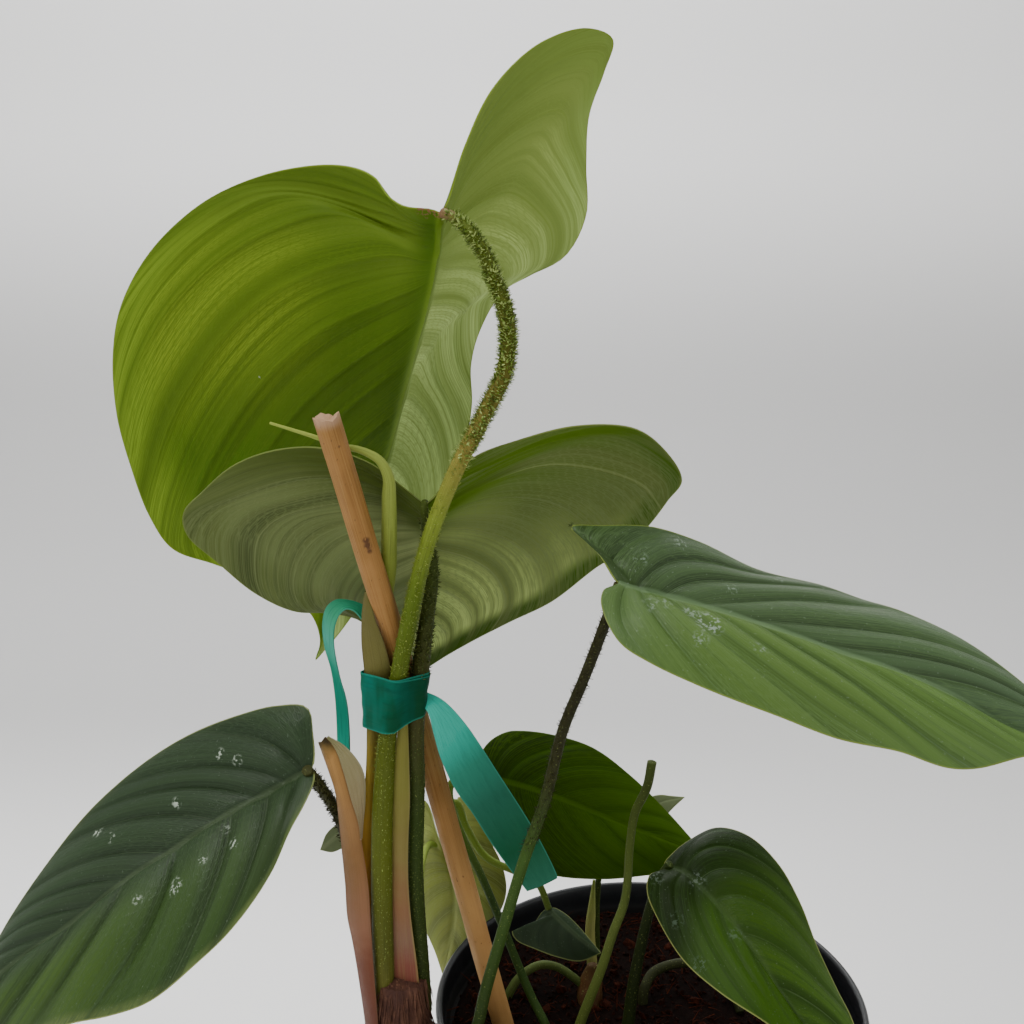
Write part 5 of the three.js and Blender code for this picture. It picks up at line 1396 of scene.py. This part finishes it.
def wrap_form():
    """The tape as one strip that goes round more than twice, a little wider each time."""
    held = [(STALKS["tall_leaf_petiole"]["at"], TALL_GRIP),
            (STALKS["broad_leaf_petiole"]["at"], BROAD_GRIP), (STAKE_WAY, STAKE_RADIUS)]
    for node in ("brown_sheath", "pink_sheath"):
        held += [(HUSKS[node][side], HUSK_GRIP) for side in ("left", "right")]
    ways = [Way(sight(places)) for places, radius in held]
    sizes = np.array([radius + WRAP_SLACK for places, radius in held]) / 1000
    rounds = np.linspace(0, WRAP_ROUNDS, WRAP_STEPS)
    turn = WRAP_START - np.linspace(0, 2 * np.pi * WRAP_ROUNDS, WRAP_STEPS)
    ahead = np.stack([np.cos(turn), np.sin(turn)], axis=1)
    facets = np.linspace(0, 2 * np.pi, WRAP_FACETS, endpoint=False)
    normals = np.stack([np.cos(facets), np.sin(facets)], axis=1)
    lean = ahead @ normals.T
    columns = np.linspace(0, 1, WRAP_COLUMNS)
    grid = np.zeros((WRAP_STEPS, WRAP_COLUMNS, 3))
    for column, share in enumerate(columns):
        base = level_of(WRAP_LEVELS[0] + (WRAP_LEVELS[1] - WRAP_LEVELS[0]) * share)
        centres = np.array([at_height(way, base)[:2] for way in ways])
        middle = centres.mean(axis=0)
        support = ((centres - middle) @ normals.T + sizes[:, None]).max(axis=0)
        reach = np.where(lean > 0.02, support / np.maximum(lean, 0.02), np.inf).min(axis=1)
        crease = 0.00012 * np.sin(7 * share + 3 * turn) + 0.0001 * np.sin(19 * share - 2 * turn)
        out = reach + 0.0001 + 0.00022 * rounds + crease * (rounds > 0.1)
        grid[:, column, :2] = middle + ahead * out[:, None]
        skew = 0.0011 * np.sin(turn * 0.5 + 1.1) * (share - 0.35) + 0.0006 * rounds * (share - 0.5)
        slant = 0.0035 * np.maximum(0, np.cos(turn)) * (1 - share)
        grid[:, column, 2] = base + skew + slant
    along = [rounds[:, None] / WRAP_ROUNDS, columns[None, :], 0 * grid[..., 0]]
    along = np.stack(np.broadcast_arrays(*along), axis=-1)
    return sheet(grid, TAPE / 2, TAPE / 2, {"along": along})


piece("wrap", wrap_form(), ROUND_TEAL, "teal_tape", "tape_wrap")
for name, node, bulge, finish in (("loop", "tape_loop", 0, LOOP_TEAL),
                                  ("tail", "tape_tail", 0.6, LOOSE_TEAL)):
    form = strip((RIBBONS[node]["left"], RIBBONS[node]["right"]), bulge, TAPE)
    ribbon = piece(name, form, finish, "teal_tape", node)
print("tape tail:", len(ribbon.data.polygons), "faces")

# %% [markdown]
# ## Pot
# A nursery pot is blow-moulded or thermoformed: a thin wall that widens upwards, a stepped rim
# and drain holes in the floor. Turning one outline round the axis makes it.

# %% Pot
POT_HEIGHT = 145
RIM_RADIUS = 80
RIM_BAND = 17
FOOT_RADIUS = 57
WALL = 1.8
FLOOR = 3
RIM_STEP = 5
DRAIN_HOLES = 6
DRAIN_RADIUS = 4.5
DRAIN_RING = 42
POT_SIDES = 160
SHOULDER = POT_HEIGHT - RIM_BAND
# The rim from its step outside, over its roll, to the wall inside: how far within the rim's
# radius and how far above the shoulder
RIM_OUTLINE = [(RIM_STEP, 0), (2.2, 0.3), (1.6, 2), (0.6, 14), (0.1, 14.4), (0, 15.2), (0.2, 16.3),
               (0.8, 16.9), (1.6, RIM_BAND), (2.2, 16.7), (2.7, 15.8), (3.1, 10), (3.6, 4),
               (4.4, 2.6), (RIM_STEP + WALL - 0.6, 2.3), (RIM_STEP + WALL, 1.4)]


def lathe(outline, sides):
    """A closed body turned from an outline that starts and ends on the axis."""
    turn = np.linspace(0, 2 * np.pi, sides, endpoint=False)
    outline = np.array(outline) / 1000
    radius, height = outline[1:-1, 0], outline[1:-1, 1]
    points = np.stack([radius[:, None] * np.cos(turn), radius[:, None] * np.sin(turn),
                       height[:, None] + 0 * turn], axis=-1)
    return rings(points, {}, (0, 0, outline[0, 1]), (0, 0, outline[-1, 1]))


def pot_finish():
    finish = Finish("black pot", {"Specular IOR Level": 0.4})
    dust = finish.noise(90, 4, 0.6)
    colour = finish.mix(finish.soft(dust, 0.5, 0.8) * 0.4, hue("1a1c1f"), hue("333538"))
    place = finish.split(finish.place())
    height = place.other("Z")
    radius = (place * place + place.other("Y") * place.other("Y")) ** 0.5
    # Painted shade: the ledge inside the rim, where the soil meets the wall, is painted near black
    inside = 1 - finish.soft(radius, 0.0765, 0.0775)
    below_rim = 1 - finish.soft(height, 0.133, 0.137)
    shaded_ledge = inside * below_rim * finish.soft(height, 0.126, 0.129)
    colour = finish.mix(shaded_ledge, colour, hue("080504"))
    return finish.wear(colour, dust * 0.25 + 0.22 + shaded_ledge * 0.5, finish.noise(300, 2), 0.1, 0.0003)


pot_outline = ([(0, 0), (FOOT_RADIUS - 2, 0), (FOOT_RADIUS - 0.6, 0.6), (FOOT_RADIUS, 2)]
               + [(RIM_RADIUS - inside, SHOULDER + above) for inside, above in RIM_OUTLINE]
               + [(FOOT_RADIUS - WALL, FLOOR), (0, FLOOR)])
pot = piece("nursery_pot", lathe(pot_outline, POT_SIDES), pot_finish(), "black_pot", "pot", crease=35)
drills = []
for hole in range(DRAIN_HOLES):
    turn = 2 * math.pi * (hole + 0.5) / DRAIN_HOLES
    middle = DRAIN_RING / 1000 * math.cos(turn), DRAIN_RING / 1000 * math.sin(turn), 0
    bpy.ops.mesh.primitive_cylinder_add(
        radius=DRAIN_RADIUS / 1000, depth=4 * FLOOR / 1000, vertices=32, location=middle)
    drills.append(bpy.context.object)
for drill in drills:
    cut = pot.modifiers.new("hole", "BOOLEAN")
    cut.object = drill
    cut.solver = "EXACT"
pot.data = bpy.data.meshes.new_from_object(pot.evaluated_get(bpy.context.evaluated_depsgraph_get()))
pot.modifiers.clear()
for drill in drills:
    bpy.data.objects.remove(drill)
print("pot:", len(pot.data.polygons), "faces")

# %% [markdown]
# ## Soil
# The soil is coir and bark: a dark uneven bed with crumbs, chips and fibres on it. The bed is a
# turned body whose top is pushed up and down by a sum of waves. A small tree scatters crumbs
# on it, and the growth tree adds the fibres.

# %% Soil and its crumbs
SOIL_TOP = 134
SOIL_SIDES = 200
SOIL_RINGS = 48
CLEAR = 0.3
# Waves of the soil's top: radians per millimetre across and back, phase and height
SOIL_WAVES = ((0.11, 0.05, 0.4, 0.7), (-0.09, 0.16, 2.0, 0.6), (0.31, -0.22, 1.1, 0.45),
              (0.52, 0.43, 4.0, 0.35), (-0.81, 0.6, 0.3, 0.25), (1.3, -1.1, 2.2, 0.2),
              (1.9, 1.6, 5.1, 0.15))
WAVE_SHARE = 0.45


def soil_form():
    neck = RIM_RADIUS - RIM_STEP - WALL - CLEAR
    outline = [(0, FLOOR + CLEAR), (FOOT_RADIUS - WALL - CLEAR, FLOOR + CLEAR),
               (neck, SHOULDER + 1.2), (neck + 0.9, SOIL_TOP - 2.4)]
    outline += [(radius, SOIL_TOP) for radius in np.linspace(neck - 0.6, 1.5, SOIL_RINGS)]
    points, faces, _ = lathe(outline + [(0, SOIL_TOP)], SOIL_SIDES)
    x, y = points[:, 0] * 1000, points[:, 1] * 1000
    wave = sum(np.sin(x * a + y * b + c) * h for a, b, c, h in SOIL_WAVES)
    top = points[:, 2] > (SOIL_TOP - 0.5) / 1000
    points[top, 2] += wave[top] * WAVE_SHARE / 1000
    fibres_lie = np.stack([np.cos(x * 3.1), np.sin(y * 2.7), 0 * x], axis=1)
    return points, faces, {"scaly": top.astype(float), "upward": fibres_lie}


def soil_finish(name, tones):
    finish = Finish(name, {"Specular IOR Level": 0.05})
    grit = finish.noise(700, 5, 0.7)
    patch = finish.noise(60, 3)
    colour = finish.mix(finish.soft(grit, 0.35, 0.7), hue(tones[0]), hue(tones[1]))
    colour = finish.mix(finish.soft(patch, 0.45, 0.75) * 0.5, colour, hue(tones[2]))
    return finish.wear(colour, grit * 0.2 + 0.75, grit, 0.8, 0.001)


def crumb_tree():
    """Dented lumps, turned at random, on the faces that are marked."""
    nodes, given = open_tree("crumbs", ("Density", "Size"), ("Seed",))
    spots = spread(nodes, given)
    ball = nodes.add("GeometryNodeMeshIcoSphere", sockets={"Radius": 0.5, "Subdivisions": 1}, out="Mesh")
    dent = nodes.add("ShaderNodeTexNoise", sockets={"Scale": 2.2, "Detail": 2}, out="Color")
    dent = nodes.scale_vector(nodes.add_vectors(dent, (-0.5, -0.5, -0.5)), 0.9)
    crumb = nodes.add("GeometryNodeSetPosition", sockets={"Geometry": ball, "Offset": dent})
    turned = nodes.draw_vector((0, 0, 0), (6.3, 6.3, 6.3), given.other("Seed"))
    size = nodes.draw_vector((0.3, 0.3, 0.2), (1.6, 1.0, 0.7), given.other("Seed") + 1)
    return join_copies(nodes, given, {
        "Points": spots, "Instance": crumb, "Rotation": turned,
        "Scale": nodes.scale_vector(size, given.other("Size"))})


CRUMBS = crumb_tree()
bed = soil_finish("dark coir", ("0b0503", "1a0d09", "060302"))
soil = piece("coir", soil_form(), bed, "coir_soil", "soil")
cover = np.zeros(len(soil.data.vertices), np.float32)
soil.data.attributes["scaly"].data.foreach_get("value", cover)
layers = (
    (CRUMBS, dict(Density=9e4, Size=0.0026, Seed=3), "coir crumbs", ("1a0c08", "34190f", "0c0503")),
    (CRUMBS, dict(Density=6e3, Size=0.0055, Seed=5), "bark chips", ("2c150d", "441f12", "140906")),
    (GROWTH, dict(Density=3e4, Length=0.007, Width=0.0005, Flatness=1.0, Bend=2.0, Belly=0.0,
                  Lean=3.0, Sink=0.0, Sides=4, Seed=9), "coir fibres", ("38190e", "542a18", "1c0c07")))
for tree, inputs, name, tones in layers:
    values = np.zeros(len(soil.data.vertices), np.float32)
    values[:len(cover)] = cover
    soil.data.attributes["scaly"].data.foreach_set("value", values)
    grow(soil, tree, Finish=soil_finish(name, tones), **inputs)
print("soil:", len(soil.data.polygons), "faces")

# %% [markdown]
# ## Creeping stem
# The stem is the old part of the plant: thick, brown and covered with the fibres of dead
# sheaths. It is a ribbed tube on which the growth tree lays long thin fibres.

# %% Creeping stem and its fibres
STEM_WAY = [[-89.5, -34, 178], [-89.5, -35, 165], [-87, -38, 157.4], [-78, -43, 154],
    [-65, -46, 153.8], [-52, -46, 149.5], [-43, -44, 139], [-38, -43, 120]]
STEM_RADII = [9.3, 9.3, 8.8, 7.4, 7, 7, 7, 6.5]
STEM_SIDES = 72
STEM_RINGS = 120


def ribbed(turn, share):
    """The stem's radius round and along it, as a factor."""
    return (0.97 + 0.03 * np.sin(9 * turn + 4 * share) + 0.02 * np.sin(23 * turn - 7 * share)
            + 0.015 * np.sin(60 * share))


def stem_form():
    way = Way(np.array(STEM_WAY) / 1000)
    points, carried, foot, head = tube(way, STEM_RADII, STEM_SIDES, STEM_RINGS, ribbed)
    return rings(points, {**carried, "scaly": 1 + 0 * carried["along"][..., :1]}, foot, head)


def bark_finish(name, tones):
    finish = Finish(name, {"Specular IOR Level": 0.25})
    grit = finish.noise(260, 5, 0.7, stretch=(1, 1, 0.3))
    colour = finish.mix(finish.soft(grit, 0.35, 0.68), hue(tones[0]), hue(tones[1]))
    colour = finish.mix(finish.soft(finish.noise(900, 3), 0.55, 0.75) * 0.6, colour, hue(tones[2]))
    return finish.wear(colour, grit * 0.2 + 0.7, grit, 0.8, 0.001)


bark = bark_finish("stem bark", ("40261e", "5c3c2e", "26140f"))
stem = piece("stem", stem_form(), bark, "brown_stem", "creeping_stem")
fibres = bark_finish("bark fibres", ("462a20", "704c3a", "281610"))
grow(stem, Density=5e5, Length=0.0075, Width=0.0006, Flatness=0.8, Bend=0.3, Belly=0.0,
     Lean=3.5, Sink=0.0002, Sides=3, Seed=21, Finish=fibres)
print("stem:", len(stem.data.polygons), "faces")

# %% [markdown]
# ## Floor and light
# The plant stands before a pale grey sweep. Large soft lamps on both sides give the even light of
# a studio, with the stronger one on the left and above. Two more light the leaves from behind
# and the wall of the sweep.

# %% Sweep, lamps and world
SWEEP_WIDTH = 3.0
SWEEP_BACK = 1.1
SWEEP_BEND = 0.6
SWEEP_FRONT = -1.4
SWEEP_TOP = 2.6


def sweep():
    arc = [(SWEEP_BACK + SWEEP_BEND * math.sin(a), SWEEP_BEND * (1 - math.cos(a)))
           for a in np.linspace(0, math.pi / 2, 24)]
    line = [(SWEEP_FRONT, 0.0)] + arc + [(SWEEP_BACK + SWEEP_BEND, SWEEP_TOP)]
    points = [(x, y, z - 0.0002) for y, z in line for x in (-SWEEP_WIDTH, SWEEP_WIDTH)]
    faces = [(2 * k, 2 * k + 1, 2 * k + 3, 2 * k + 2) for k in range(len(line) - 1)]
    mesh = bpy.data.meshes.new("sweep")
    mesh.from_pydata(points, [], faces)
    mesh.shade_smooth()
    paper = Finish("pale paper", {"Specular IOR Level": 0.1, "Roughness": 0.9})
    place = paper.split(paper.place())
    # Painted shade on the paper: greyer on the floor and the low bend further back, and on the right of the
    # floor nearer the plant
    far_floor_shade = paper.soft(place.other("Y"), 0.15, 0.6) * (1 - paper.soft(place.other("Z"), 0.08, 0.5))
    right = paper.soft(place, -0.05, 0.35) * (1 - paper.soft(place.other("Y"), 0.5, 1.0)) * 0.6
    tone = paper.mix(right, paper.mix(far_floor_shade, hue("ffffff"), hue("bebebe")), hue("c8c8c8"))
    mesh.materials.append(paper.wear(tone))
    thing = bpy.data.objects.new("sweep", mesh)
    bpy.context.collection.objects.link(thing)


def lamp(name, place, target, size, power, colour=(1, 1, 1)):
    light = bpy.data.lights.new(name, "AREA")
    light.shape = "DISK"
    light.size = size
    light.energy = power
    light.color = colour
    thing = bpy.data.objects.new(name, light)
    thing.location = place
    away = np.array(place) - np.array(target)
    thing.rotation_euler = (math.acos(away[2] / np.linalg.norm(away)), 0, math.atan2(away[0], -away[1]))
    bpy.context.collection.objects.link(thing)


sweep()
lamp("key", (-0.8, -0.5, 1.7), (0, 0, 0.25), 0.8, 16, (1.0, 0.99, 0.96))
lamp("fill", (1.2, -0.8, 0.8), (0, 0, 0.25), 1.2, 3)
lamp("back", (-0.2, 0.75, 1.5), (0, 0.1, 0.3), 0.9, 9)
lamp("wall", (-0.3, 0.7, 1.6), (-0.2, 1.7, 0.9), 1.6, 18)
world = bpy.data.worlds.new("studio")
world.use_nodes = True
world.node_tree.nodes["Background"].inputs["Color"].default_value = (1.0, 0.99, 0.96, 1)
world.node_tree.nodes["Background"].inputs["Strength"].default_value = 0.6
bpy.context.scene.world = world
print(len(bpy.data.lights), "lamps")
